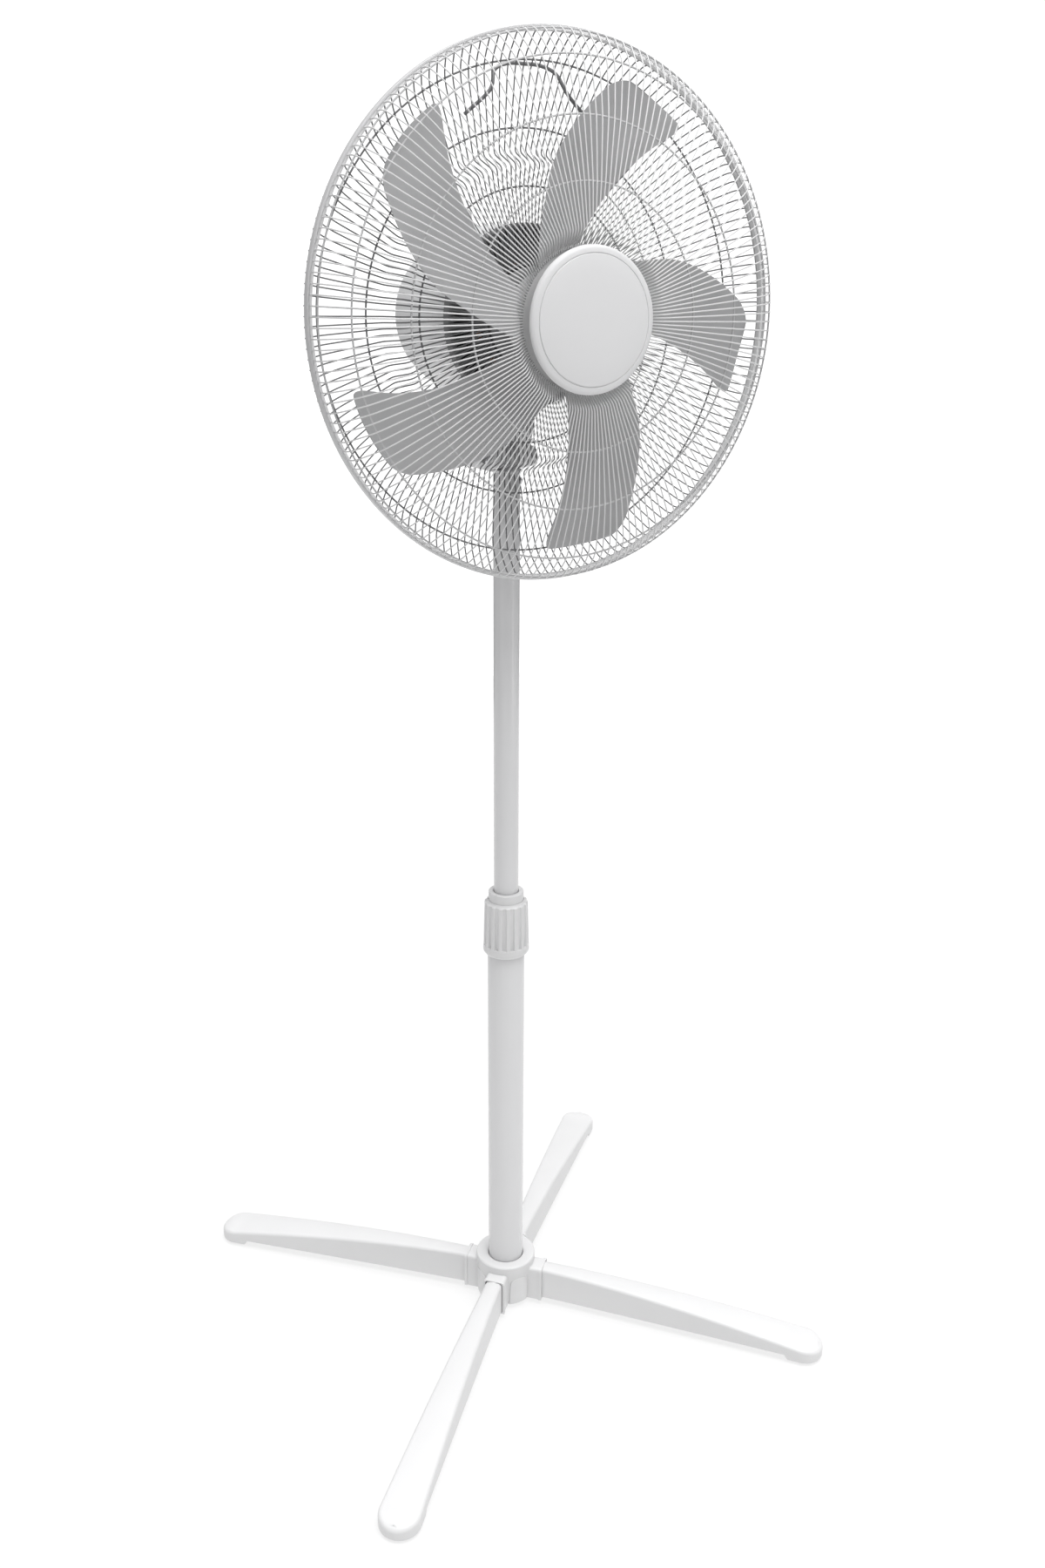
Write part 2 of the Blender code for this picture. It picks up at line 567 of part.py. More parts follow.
def make_oscillation_gear():
    make_worm()
    wheel = prism(toothed(WORM_TEETH, WORM_WHEEL_R, 0.0005, -0.0012), 1.0825, 1.0875,
                  frame_z(*SPINDLE_AT))
    wheel = make("worm_wheel", wheel, "gear_nylon", (*SPINDLE_AT, 1.0850))
    cut(wheel, lathe(cylinder(0.0028, 1.07, 1.10), frame_z(*SPINDLE_AT), 10))

    centre = CRANK_AT[0] - SPINDLE_AT[0]
    pinion_r = centre * PINION_TEETH / (PINION_TEETH + CRANK_TEETH)
    gear_r = centre - pinion_r
    spindle = make("clutch_spindle", lathe([(0, 1.0362), (0.0020, 1.0362), (0.0020, 1.0405), (0.0025, 1.0405),
                                            (0.0025, 1.1180), (0, 1.1180)], frame_z(*SPINDLE_AT), 10),
                   "steel", (*SPINDLE_AT, 1.0500))
    add(spindle, prism(toothed(PINION_TEETH, pinion_r, 0.0009, -0.0016), 1.0412, 1.0480,
                       frame_z(*SPINDLE_AT)))
    gap_phase = math.pi + TAU / CRANK_TEETH / 2
    gear = make("crank_gear", prism(toothed(CRANK_TEETH, gear_r, 0.0008, -0.0016, gap_phase), 1.0420, 1.0470,
                                    frame_z(*CRANK_AT)), "gear_nylon", (*CRANK_AT, 1.0450))
    add(gear, lathe(cylinder(0.0034, 1.0240, 1.0520), frame_z(*CRANK_AT), 10))
    add(gear, lathe(cylinder(0.0112, 1.0226, 1.0256), frame_z(*CRANK_AT), 14))
    pin_at = (CRANK_AT[0] + CRANK_THROW, CRANK_AT[1])
    add(gear, lathe(cylinder(0.0020, 1.0172, 1.0230), frame_z(*pin_at), 8))

    make_link_arm()
    make_gearbox()
    make("oscillation_knob", lathe([(0, 1.1190), (0.0030, 1.1190), (0.0030, 1.1640), (0.0080, 1.1640),
                                    (0.0084, 1.1650), (0.0078, 1.1750), (0.0066, 1.1770), (0, 1.1770)],
                                   frame_z(*SPINDLE_AT), 14), "white_plastic", (*SPINDLE_AT, 1.1640))


def make_link_arm():
    """Flat link from the fixed link pin to the crank pin, which runs in a clearance slot."""
    low, high = 1.0182, 1.0212
    slot_at = (LINK_PIN[0] - 0.0006, CRANK_AT[1])
    slot_half_x, slot_half_y = 0.0054, 0.0042
    arm = make("link_arm", lathe(cylinder(0.0042, low, high), frame_z(*LINK_PIN), 14), "steel",
               (*LINK_PIN, low))
    add(arm, block((LINK_PIN[0] - 0.0004, 0.0010, low), (LINK_PIN[0] + 0.0042, CRANK_AT[1] - 0.0060, high)))
    add(arm, block((slot_at[0] - slot_half_x - 0.0022, slot_at[1] - slot_half_y - 0.0022, low),
                   (slot_at[0] + slot_half_x + 0.0022, slot_at[1] + slot_half_y + 0.0022, high)))
    cut(arm, block((slot_at[0] - slot_half_x, slot_at[1] - slot_half_y, low - 0.01),
                   (slot_at[0] + slot_half_x, slot_at[1] + slot_half_y, high + 0.01)))
    cut(arm, lathe(cylinder(0.0023, low - 0.01, high + 0.01), frame_z(*LINK_PIN), 10))


def make_gearbox():
    case = make("gearbox_case", block((-0.0330, 0.0355, 1.0372), (0.0290, 0.0780, 1.1080)), "casting")
    cut(case, block((-0.0310, 0.0375, 1.0398), (0.0270, 0.0760, 1.1200)))
    cut(case, lathe(cylinder(0.0084, 0.03, 0.05), frame_y(), 14))
    cut(case, lathe(cylinder(0.0037, 1.03, 1.05), frame_z(*CRANK_AT), 10))
    cut(case, lathe(cylinder(0.0023, 1.03, 1.05), frame_z(*SPINDLE_AT), 8))
    lid = make("gearbox_lid", block((-0.0330, 0.0355, 1.1083), (0.0290, 0.0780, 1.1105)), "casting")
    cut(lid, lathe(cylinder(0.0028, 1.09, 1.12), frame_z(*SPINDLE_AT), 8))

    plate = make("motor_bracket", block((-0.0260, -0.0240, 1.0227), (0.0260, 0.0352, 1.0287)), "casting")
    add(plate, block((-0.0300, 0.0240, 1.0240), (0.0280, 0.0352, 1.0600)))
    cut(plate, lathe(cylinder(0.0555, -0.03, 0.0345), frame_y(), 24))
    cut(plate, lathe(cylinder(0.0486, -0.05, 0.06), frame_y(), 24))
    add(plate, lathe(cylinder(0.0095, 0.9984, 1.0260), frame_z(), 16))
    cut(plate, lathe(cylinder(0.0063, 0.98, 1.0225), frame_z(), 14))
    make("pivot_pin", lathe(cylinder(0.0060, 0.9790, 1.0220), frame_z(), 14), "steel")


# ------------------------------------------------------------------ guards
def wire_dish(name, rows, rings):
    """Radial-wire guard: a turned surface keeping only wire strips and ring strips, thickened.

    rows is a list of (radius, y); rings holds the indices of rows kept all the way round.
    """
    bm = bmesh.new()
    grid = []
    for radius, y in rows:
        half = GUARD_WIRE / 2 / radius
        line = []
        for wire in range(GUARD_WIRES):
            middle = TAU * wire / GUARD_WIRES
            for angle in (middle - half, middle + half):
                x, z = radius * math.cos(angle), AXIS_Z + radius * math.sin(angle)
                line.append(bm.verts.new((x, y, z)))
        grid.append(line)
    count = 2 * GUARD_WIRES
    for row in range(len(rows) - 1):
        for column in range(count):
            if column % 2 == 0 or row in rings:
                after = (column + 1) % count
                near, far = grid[row], grid[row + 1]
                bm.faces.new((near[column], near[after], far[after], far[column]))
    loose = [vert for vert in bm.verts if not vert.link_faces]
    bmesh.ops.delete(bm, geom=loose, context="VERTS")
    guard = make(name, bm, "wire_coating")
    solid = guard.modifiers.new("wire_thickness", "SOLIDIFY")
    solid.thickness = 0.0024
    solid.offset = 0.0


def make_guards():
    front = [(0.0560, -0.1350), (0.0590, -0.1350), (0.0700, -0.1440), (0.1048, -0.1407), (0.1078, -0.1404),
             (0.1540, -0.1330), (0.1570, -0.1322), (0.2000, -0.1190), (0.2195, -0.1030), (0.2212, -0.1000),
             (0.2214, -0.0886)]
    wire_dish("front_guard", front, {0, 3, 5, 8})
    rear = [(0.2214, -0.0790), (0.2212, -0.0720), (0.2050, -0.0515), (0.2020, -0.0502), (0.1550, -0.0350),
            (0.1520, -0.0344), (0.1355, -0.0292), (0.1255, -0.0462), (0.1092, -0.0424), (0.1062, -0.0418),
            (0.0450, -0.0450), (0.0400, -0.0450)]
    wire_dish("rear_guard", rear, {0, 2, 4, 8, 10})

    low, high = BAND_Y - BAND_HALF, BAND_Y + BAND_HALF
    make("guard_band", lathe(cylinder(BAND_R, low, high, BAND_R - 0.0022), frame_y(), 60), "white_plastic")
    make("front_cap", lathe([(0, CAP_FACE - 0.0020), (0.0300, CAP_FACE - 0.0015), (0.0500, CAP_FACE),
                             (0.0572, CAP_FACE + 0.0008), (CAP_R, CAP_FACE + 0.0030), (CAP_R, CAP_BACK),
                             (CAP_R - 0.0025, CAP_BACK), (CAP_R - 0.0035, CAP_FACE + 0.0040),
                             (0.0520, CAP_FACE + 0.0040), (0.0520, SKIRT_BACK), (0.0500, SKIRT_BACK),
                             (0.0500, CAP_FACE + 0.0015), (0, CAP_FACE + 0.0015)], frame_y(), 30),
         "cover_plastic")
    make("cap_retainer", lathe(cylinder(0.0580, -0.1330, -0.1310, 0.0180), frame_y(), 24), "white_plastic")
    make("guard_nut", lathe([(NUT_BORE, NUT_FRONT), (0.0300, NUT_FRONT), (0.0430, NUT_FRONT + 0.0040),
                             (0.0430, -0.0466), (NUT_BORE, -0.0466)], frame_y(), 24), "dark_plastic")


# ------------------------------------------------------------------ impeller
def blade_edge(radius, table):
    """Smooth value between (radius, value) pairs."""
    for (r0, v0), (r1, v1) in zip(table, table[1:]):
        if radius <= r1:
            share = (radius - r0) / (r1 - r0)
            return v0 + (v1 - v0) * share
    return table[-1][1]


def blade_rings(turn):
    """Closed chordwise rings of one blade, from inside the hub to the tip."""
    lead = [(0.036, 71.0), (0.09, 65.5), (0.12, 62.0), (0.165, 55.8), (0.18, 53.4), (0.192, 52.3),
            (BLADE_TIP_R, 54.0)]
    trail = [(0.036, 136.0), (0.06, 117.5), (0.09, 103.8), (0.12, 96.0), (0.165, 82.8), (0.18, 78.6),
             (0.192, 74.6), (BLADE_TIP_R, 69.0)]
    chord = 5
    rings = []
    for radius in (0.036, 0.06, 0.09, 0.12, 0.165, 0.18, 0.192, BLADE_TIP_R):
        start, end = blade_edge(radius, lead), blade_edge(radius, trail)
        span = (radius - 0.036) / (BLADE_TIP_R - 0.036)
        front_y = -0.1130 + 0.0170 * span ** 0.6
        back_y = -0.0800 - 0.0085 * span
        upper, lower = [], []
        for i in range(chord):
            share = i / (chord - 1)
            angle = math.radians(start + (end - start) * share) + turn
            y = back_y + (front_y - back_y) * share + 0.0030 * math.sin(math.pi * share)
            half = BLADE_T / 2 * (0.45 + 0.55 * math.sin(math.pi * share))
            x, z = radius * math.cos(angle), AXIS_Z + radius * math.sin(angle)
            upper.append((x, y - half, z))
            lower.append((x, y + half, z))
        rings.append(upper + lower[::-1])
    return rings


def make_impeller():
    hub = make("fan_blade", lathe([(SHAFT_R + GAP, -0.0740), (0.0140, -0.0740), (0.0140, -0.0780),
                                   (BLADE_HUB_R - 0.0024, -0.0800), (BLADE_HUB_R - 0.0024, -0.0740),
                                   (BLADE_HUB_R, -0.0740), (BLADE_HUB_R, -0.1150), (0.0360, -0.1200),
                                   (SHAFT_R + GAP, -0.1200)], frame_y(), 24), "blade_plastic",
               (0.0, 0.0, AXIS_Z))
    for blade in range(BLADES):
        add(hub, loft(blade_rings(TAU * blade / BLADES)))
    cut(hub, block((-0.0115, -0.0780, AXIS_Z - 0.0015), (0.0115, -0.0600, AXIS_Z + 0.0015)))
    make("blade_nut", lathe([(SHAFT_R + GAP, -0.1204), (0.0150, -0.1204), (0.0150, -0.1260),
                             (0.0120, -0.1340), (0.0060, -0.1372), (0, -0.1372), (0, -0.1335),
                             (SHAFT_R + GAP, -0.1335)], frame_y(), 16), "dark_plastic")


def main():
    clear_scene()
    make_base()
    make_mast()
    make_neck()
    make_tilt_joint()
    make_covers()
    make_motor()
    make_oscillation_gear()
    make_guards()
    make_impeller()


main()
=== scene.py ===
"""Pedestal fan: the looks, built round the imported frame.

Metres, +Z up, in the frame of the CAD: the origin is on the floor under the mast, and the fan blows
towards -Y.  Turned pieces of the head are drawn as (radius, y) outlines about the fan axis, and
angles round it start at +X and rise towards +Z.
"""

import math

import bmesh
import bpy
from mathutils import Matrix, Vector


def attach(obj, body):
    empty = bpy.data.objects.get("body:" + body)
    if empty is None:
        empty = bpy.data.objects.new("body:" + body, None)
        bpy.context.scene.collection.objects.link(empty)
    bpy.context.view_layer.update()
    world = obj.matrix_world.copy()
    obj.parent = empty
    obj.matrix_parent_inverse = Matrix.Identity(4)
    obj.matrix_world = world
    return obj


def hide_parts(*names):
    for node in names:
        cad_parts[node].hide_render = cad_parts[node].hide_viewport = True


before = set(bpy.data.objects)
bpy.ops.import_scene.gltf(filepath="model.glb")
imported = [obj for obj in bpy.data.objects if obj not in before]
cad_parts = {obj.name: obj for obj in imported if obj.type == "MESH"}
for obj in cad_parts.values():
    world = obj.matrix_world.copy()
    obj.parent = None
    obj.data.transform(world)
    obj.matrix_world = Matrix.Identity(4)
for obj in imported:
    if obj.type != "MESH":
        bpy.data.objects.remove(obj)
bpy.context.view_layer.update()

TAU = 2.0 * math.pi
GAP = 0.0003                # running gap between neighbouring pieces

# ---- base
LEG_REACH = 0.3437          # mast axis to the centre of a leg's round tip
PAD_REACH = 0.346           # mast axis to the middle of a foot pad
LEG_TIP_R = 0.0213
LEG_ROOT = 0.0468           # where a leg leaves its socket
LEG_PLUG = 0.0120           # length of leg inside the socket
LEG_ROOT_HALF = 0.0094
LEG_ROOT_TOP, LEG_TIP_TOP = 0.0465, 0.0188
LEG_UNDER, FOOT_UNDER = 0.0085, 0.0030
FOOT_START = PAD_REACH - 0.0165
PAD_R = 0.0145
HUB_R = 0.0337
HUB_TOP, HUB_LOW = 0.0575, 0.0060
HUB_FLOOR, BOLT_BORE = 0.0121, 0.0068
SOCKET_OUT, SOCKET_HALF_W, SOCKET_TOP = 0.0465, 0.0128, 0.0490

# ---- mast
LOWER_R, UPPER_R, TUBE_WALL = 0.0196, 0.0128, 0.0012
LOWER_LOW, LOWER_TOP = 0.0123, 0.4905
UPPER_LOW, UPPER_TOP = 0.4250, 0.9467
COLLAR_LOW, SHOULDER, COLLAR_HIGH = 0.4440, 0.5020, 0.5050
COLLAR_R_LOW, COLLAR_R_HIGH, COLLAR_BORE = 0.0244, 0.0228, 0.0212
BUSH_LOW, BUSH_STEP, BUSH_TOP = 0.4480, 0.4925, 0.5145
BUSH_R, BUSH_SKIRT_R = 0.0184, 0.0209
FLUTES = 17

# ---- neck and tilt joint
NECK_R, NECK_LOW, NECK_TOP = 0.0148, 0.9470, 0.9490
TILT_Z, TILT_HOLE = 0.9600, 0.0033
BOX_HALF_W = 0.0152
BOX_FRONT, BOX_BACK, BOX_LOW, BOX_HIGH = 0.0150, 0.0500, 0.9472, 0.9720
SLOPE_START, SLOPE_END = (0.0270, 0.9720), (0.0500, 0.9560)
BUTTON_PITCH, BUTTON_W, BUTTON_L = 0.0067, 0.0054, 0.0150
BRACKET_LOW, BRACKET_TOP = 0.9740, 0.9980

# ---- head
AXIS_Z = 1.0850
BAND_R, BAND_Y, BAND_HALF = 0.2250, -0.0838, 0.0036
COVER_R, COVER_FRONT, COVER_SPLIT, COVER_BACK = 0.0788, -0.0410, -0.0300, 0.1180
BELL_TURN = 0.0980          # y at which the rear cover starts to round off
NUT_BORE, NUT_FRONT, NUT_BACK = 0.0145, -0.0540, -0.0466
CAP_R, CAP_BACK, CAP_FACE = 0.0590, -0.1484, -0.1530
SPINDLE_AT = (-0.0160, 0.0560)

# ---- guards
WIRES = 168                 # radial wires on each guard
GUARD_RIM = BAND_R - 0.0028
WIRE_R, HOOP_R, END_HOOP_R = 0.00060, 0.00080, 0.0013

# ---- impeller
BLADES = 5
TIP_R, BLADE_HUB_R, BLADE_T = 0.1970, 0.0400, 0.0022
BLADE_HUB_BACK, BLADE_HUB_FRONT = -0.0740, -0.1200
SHAFT_R = 0.0040


# ------------------------------------------------------------------ camera, light and floor
def make_camera():
    """Camera at head height, left of the fan's front, turned right and looking down at it."""
    data = bpy.data.cameras.new("photo_camera")
    data.lens = 31.88
    data.sensor_width = 36.0
    data.shift_x = 0.01365
    data.clip_start, data.clip_end = 0.05, 100.0
    camera = bpy.data.objects.new("photo_camera", data)
    camera.location = (-0.6278, -1.1763, 1.1157)
    looking_down, turned_right = 0.3474, 0.4863
    camera.rotation_euler = (math.pi / 2 - looking_down, 0.0, -turned_right)
    bpy.context.scene.collection.objects.link(camera)
    bpy.context.scene.camera = camera


def make_light(name, kind, energy, toward, location=(0, 0, 3), **settings):
    """Add a lamp that shines along a direction."""
    data = bpy.data.lights.new(name, kind)
    data.energy = energy
    for key, value in settings.items():
        setattr(data, key, value)
    lamp = bpy.data.objects.new(name, data)
    lamp.location = location
    lamp.rotation_euler = Vector(toward).to_track_quat("-Z", "Y").to_euler()
    lamp.visible_camera = False
    bpy.context.scene.collection.objects.link(lamp)


def make_world():
    """White backdrop for the camera; for the object, a room bright overhead and dim at the sides."""
    world = bpy.data.worlds.new("studio")
    bpy.context.scene.world = world
    world.use_nodes = True
    tree = world.node_tree
    tree.nodes.clear()
    output = tree.nodes.new("ShaderNodeOutputWorld")
    mix = tree.nodes.new("ShaderNodeMixShader")
    room = tree.nodes.new("ShaderNodeBackground")
    backdrop = tree.nodes.new("ShaderNodeBackground")
    path = tree.nodes.new("ShaderNodeLightPath")
    place = tree.nodes.new("ShaderNodeTexCoord")
    split = tree.nodes.new("ShaderNodeSeparateXYZ")
    ramp = tree.nodes.new("ShaderNodeValToRGB")
    backdrop.inputs["Color"].default_value = (1.0, 1.0, 1.0, 1.0)
    backdrop.inputs["Strength"].default_value = 1.2
    room.inputs["Strength"].default_value = 1.0
    stops = ramp.color_ramp.elements
    stops[0].position, stops[0].color = 0.02, (0.15, 0.15, 0.152, 1.0)      # the horizon and below
    stops[1].position, stops[1].color = 0.95, (1.12, 1.12, 1.125, 1.0)      # overhead
    stops.new(0.45).color = (0.36, 0.36, 0.365, 1.0)
    tree.links.new(place.outputs["Generated"], split.inputs[0])
    tree.links.new(split.outputs["Z"], ramp.inputs["Fac"])
    tree.links.new(ramp.outputs["Color"], room.inputs["Color"])
    tree.links.new(path.outputs["Is Camera Ray"], mix.inputs["Fac"])
    tree.links.new(room.outputs[0], mix.inputs[1])
    tree.links.new(backdrop.outputs[0], mix.inputs[2])
    tree.links.new(mix.outputs[0], output.inputs["Surface"])


def make_floor():
    """White ground that fades into the backdrop and still takes a soft contact shadow."""
    half = 2.4
    mesh = bpy.data.meshes.new("floor")
    mesh.from_pydata([(-half, -half, 0), (half, -half, 0), (half, half, 0), (-half, half, 0)], [],
                     [(0, 1, 2, 3)])
    floor = bpy.data.objects.new("floor", mesh)
    material = bpy.data.materials.new("studio_floor")
    material.use_nodes = True
    shader = material.node_tree.nodes["Principled BSDF"]
    shader.inputs["Base Color"].default_value = (0.25, 0.25, 0.25, 1.0)
    shader.inputs["Roughness"].default_value = 0.9
    shader.inputs["Specular IOR Level"].default_value = 0.1
    shader.inputs["Emission Color"].default_value = (1.0, 1.0, 1.0, 1.0)
    shader.inputs["Emission Strength"].default_value = 0.70
    mesh.materials.append(material)
    bpy.context.scene.collection.objects.link(floor)


def make_studio():
    """Soft light from above, a box in front of the head and a strip on each side of the mast."""
    bpy.context.scene.view_settings.view_transform = "Standard"
    make_camera()
    make_world()
    make_floor()
    make_light("key", "SUN", 1.9, (-0.06, 0.10, -0.99), angle=math.radians(40))
    make_light("front_box", "AREA", 2.2, (0.0, 0.70, -0.72), location=(0.02, -0.68, 1.62), size=0.35)
    make_light("side_strip", "AREA", 7.0, (-0.52, 0.85, 0.0), location=(1.25, -2.06, 0.95),
               shape="RECTANGLE", size=0.20, size_y=2.4)
    make_light("left_strip", "AREA", 2.8, (0.93, 0.36, 0.0), location=(-2.10, -0.80, 1.05),
               shape="RECTANGLE", size=0.3, size_y=1.6)


# ------------------------------------------------------------------ materials
def finish(name, colour, roughness, grain=0.0004, bump=0.10, mottle=0.02, metallic=0.0, spread=0.06,
           stretch=(1.0, 1.0, 1.0)):
    """Procedural finish: fine grain in the bump, slow drift in colour, and uneven gloss.

    grain is the size of the surface texture in metres; mottle and spread are the colour and
    roughness drift; stretch draws the grain out along an axis.
    """
    material = bpy.data.materials.new(name)
    material.use_nodes = True
    tree = material.node_tree
    shader = tree.nodes["Principled BSDF"]
    shader.inputs["Metallic"].default_value = metallic
    place = tree.nodes.new("ShaderNodeTexCoord")
    mapping = tree.nodes.new("ShaderNodeMapping")
    mapping.inputs["Scale"].default_value = stretch
    tree.links.new(place.outputs["Object"], mapping.inputs["Vector"])

    def noise(scale, detail):
        node = tree.nodes.new("ShaderNodeTexNoise")
        node.inputs["Scale"].default_value = scale
        node.inputs["Detail"].default_value = detail
        tree.links.new(mapping.outputs["Vector"], node.inputs["Vector"])
        return node.outputs["Fac"]

    drift = noise(22.0, 3.0)
    gloss = noise(140.0, 4.0)
    fine = noise(1.0 / grain, 2.0)

    ramp = tree.nodes.new("ShaderNodeValToRGB")
    ends = ramp.color_ramp.elements
    ends[0].position, ends[1].position = 0.35, 0.65
    ends[0].color = (*[c * (1.0 - mottle) for c in colour], 1.0)
    ends[1].color = (*[min(1.0, c * (1.0 + mottle)) for c in colour], 1.0)
    tree.links.new(drift, ramp.inputs["Fac"])
    tree.links.new(ramp.outputs["Color"], shader.inputs["Base Color"])

    level = tree.nodes.new("ShaderNodeMapRange")
    level.inputs["From Min"].default_value = 0.3
    level.inputs["From Max"].default_value = 0.7
    level.inputs["To Min"].default_value = roughness - spread
    level.inputs["To Max"].default_value = roughness + spread
    tree.links.new(gloss, level.inputs["Value"])
    tree.links.new(level.outputs["Result"], shader.inputs["Roughness"])

    relief = tree.nodes.new("ShaderNodeBump")
    relief.inputs["Strength"].default_value = bump
    relief.inputs["Distance"].default_value = grain * 0.25
    tree.links.new(fine, relief.inputs["Height"])
    tree.links.new(relief.outputs["Normal"], shader.inputs["Normal"])
    return material


WHITE = finish("white_moulding", (0.73, 0.73, 0.732), 0.42, grain=0.0005, bump=0.16, mottle=0.008)
GLOSS_WHITE = finish("white_tube_paint", (0.74, 0.74, 0.745), 0.20, grain=0.0022, bump=0.015,
                     mottle=0.004, spread=0.03)
WIRE = finish("wire_powder_coat", (0.68, 0.68, 0.682), 0.40, grain=0.0006, bump=0.15, mottle=0.01)
# The guards share one wire coating. The front hoops and the whole rear guard take darker copies of its grey
# as painted shade: the hoops for the shaded inner side of the front guard, and the rear guard for the shade
# behind the head.
SHADED_HOOP = finish("hoop_coat_painted_shade", (0.48, 0.48, 0.485), 0.45, grain=0.0006, bump=0.15, mottle=0.02)
SHADED_REAR_WIRE = finish("rear_wire_coat_painted_shade", (0.19, 0.19, 0.195), 0.50, grain=0.0006, bump=0.15,
                   mottle=0.03)
BLADE = finish("blade_moulding", (0.43, 0.43, 0.435), 0.50, grain=0.0007, bump=0.15, mottle=0.015)
DARK = finish("dark_moulding", (0.235, 0.236, 0.240), 0.50, grain=0.0006, bump=0.25, mottle=0.06)
COVER = finish("grey_moulding", (0.84, 0.84, 0.845), 0.45, grain=0.0006, bump=0.18, mottle=0.01)
# A lighter copy of the band's grey for a ring over the band's inner face: painted light, where that face
# catches the room's light.
BAND_FACE_LIGHT = finish("band_face_painted_light", (0.84, 0.84, 0.842), 0.45, grain=0.0006, bump=0.14, mottle=0.01)
BAND = finish("band_moulding", (0.64, 0.64, 0.645), 0.42, grain=0.0006, bump=0.14, mottle=0.01)
CAP = finish("cap_moulding", (0.70, 0.70, 0.705), 0.42, grain=0.0005, bump=0.12, mottle=0.006)
RUBBER = finish("foot_rubber", (0.16, 0.16, 0.165), 0.85, grain=0.0009, bump=0.4, mottle=0.08)
STEEL = finish("zinc_steel", (0.58, 0.58, 0.60), 0.32, grain=0.0004, bump=0.12, mottle=0.05,
               metallic=1.0, stretch=(1.0, 0.12, 1.0))
LAMINATION = finish("steel_stack", (0.30, 0.30, 0.32), 0.45, grain=0.0010, bump=0.8, mottle=0.12,
                    metallic=0.9, stretch=(0.05, 1.0, 0.05))
COPPER = finish("enamelled_wire", (0.70, 0.33, 0.15), 0.35, grain=0.0010, bump=0.9, mottle=0.15,
                metallic=0.9, stretch=(0.25, 1.0, 0.25))
CASTING = finish("zinc_casting", (0.48, 0.49, 0.50), 0.55, grain=0.0012, bump=0.5, mottle=0.08,
                 metallic=0.9)
NYLON = finish("gear_nylon", (0.76, 0.73, 0.63), 0.48, grain=0.0007, bump=0.15, mottle=0.03)

LOOK_OF_SLOT = {
    "white_plastic": WHITE, "white_paint": GLOSS_WHITE, "wire_coating": WIRE, "blade_plastic": BLADE,
    "dark_plastic": DARK, "cover_plastic": COVER, "rubber": RUBBER, "steel": STEEL,
    "lamination": LAMINATION, "copper": COPPER, "casting": CASTING, "gear_nylon": NYLON,
}


def refinish_cad_nodes():
    """Every CAD node left showing gets the procedural finish of its slot."""
    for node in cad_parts.values():
        for holder in node.material_slots:
            look = LOOK_OF_SLOT.get(holder.material.name.split(".")[0])
            if look is not None:
                holder.material = look


# ------------------------------------------------------------------ mesh tools
ON_AXIS = 1e-7              # a smaller radius is a point on the axis
SIDEWAYS = Matrix(((0, 0, 1, 0), (1, 0, 0, 0), (0, 1, 0, 0), (0, 0, 0, 1)))     # (a, b, c) to (c, a, b)


def upright(x=0.0, y=0.0):
    """Vertical axis through (x, y)."""
    return Matrix.Translation((x, y, 0.0))


def fan_axis():
    """Local height becomes world y, about the fan axis."""
    return Matrix.Translation((0.0, 0.0, AXIS_Z)) @ Matrix.Rotation(-math.pi / 2, 4, "X")


def tilt_axis():
    """Local height becomes world x, about the tilt bolt."""
    return Matrix.Translation((0.0, 0.0, TILT_Z)) @ Matrix.Rotation(math.pi / 2, 4, "Y")


def out_along(heading):
    """Frame whose local Z runs outwards along a heading, X across and Y up."""
    return Matrix.Rotation(heading, 4, "Z") @ SIDEWAYS


def arc(centre, radius, start, turn, steps):
    """Points round part of a circle, with both ends."""
    angles = [start + turn * i / steps for i in range(steps + 1)]
    return [(centre[0] + radius * math.cos(angle), centre[1] + radius * math.sin(angle))
            for angle in angles]


def eased(outline, steps=3, closed=True):
    """Round an outline's corners: a point (a, b, ease) is cut back by ease on both sides."""
    count = len(outline)
    result = []
    for i, point in enumerate(outline):
        here = Vector(point[:2])
        ease = point[2] if len(point) > 2 else 0.0
        at_end = not closed and i in (0, count - 1)
        if ease <= 0.0 or at_end:
            result.append((here.x, here.y))
            continue
        before = Vector(outline[i - 1][:2]) - here
        after = Vector(outline[(i + 1) % count][:2]) - here
        reach = min(ease, before.length * 0.48, after.length * 0.48)
        start = here + before.normalized() * reach
        end = here + after.normalized() * reach
        for step in range(steps + 1):
            t = step / steps
            spot = start * (1 - t) ** 2 + here * 2 * t * (1 - t) + end * t * t
            result.append((spot.x, spot.y))
    return result


def skin(bm, near, far, closed=True):
    """Faces between two rows of vertices; a row of one vertex is a pole."""
    count = max(len(near), len(far))
    for i in range(count if closed else count - 1):
        j = (i + 1) % count
        if len(near) == 1 and len(far) == 1:
            continue
        if len(near) == 1:
            bm.faces.new((near[0], far[j], far[i]))
        elif len(far) == 1:
            bm.faces.new((near[i], near[j], far[0]))
        else:
            bm.faces.new((near[i], near[j], far[j], far[i]))


def lathe(outline, matrix, steps=96, bm=None, cut=None):
    """Turn a closed (radius, height) outline about the local Z axis.

    With a cut, a function of the angle, a point's third number is the share of it that is taken
    off the radius there.
    """
    if bm is None:
        bm = bmesh.new()
    rows = []
    for radius, height, *share in outline:
        if radius < ON_AXIS:
            rows.append([bm.verts.new(matrix @ Vector((0.0, 0.0, height)))])
            continue
        row = []
        for i in range(steps):
            angle = TAU * i / steps
            size = radius - share[0] * cut(angle) if share else radius
            spot = Vector((size * math.cos(angle), size * math.sin(angle), height))
            row.append(bm.verts.new(matrix @ spot))
        rows.append(row)
    for near, far in zip(rows, rows[1:] + rows[:1]):
        skin(bm, near, far)
    return bm


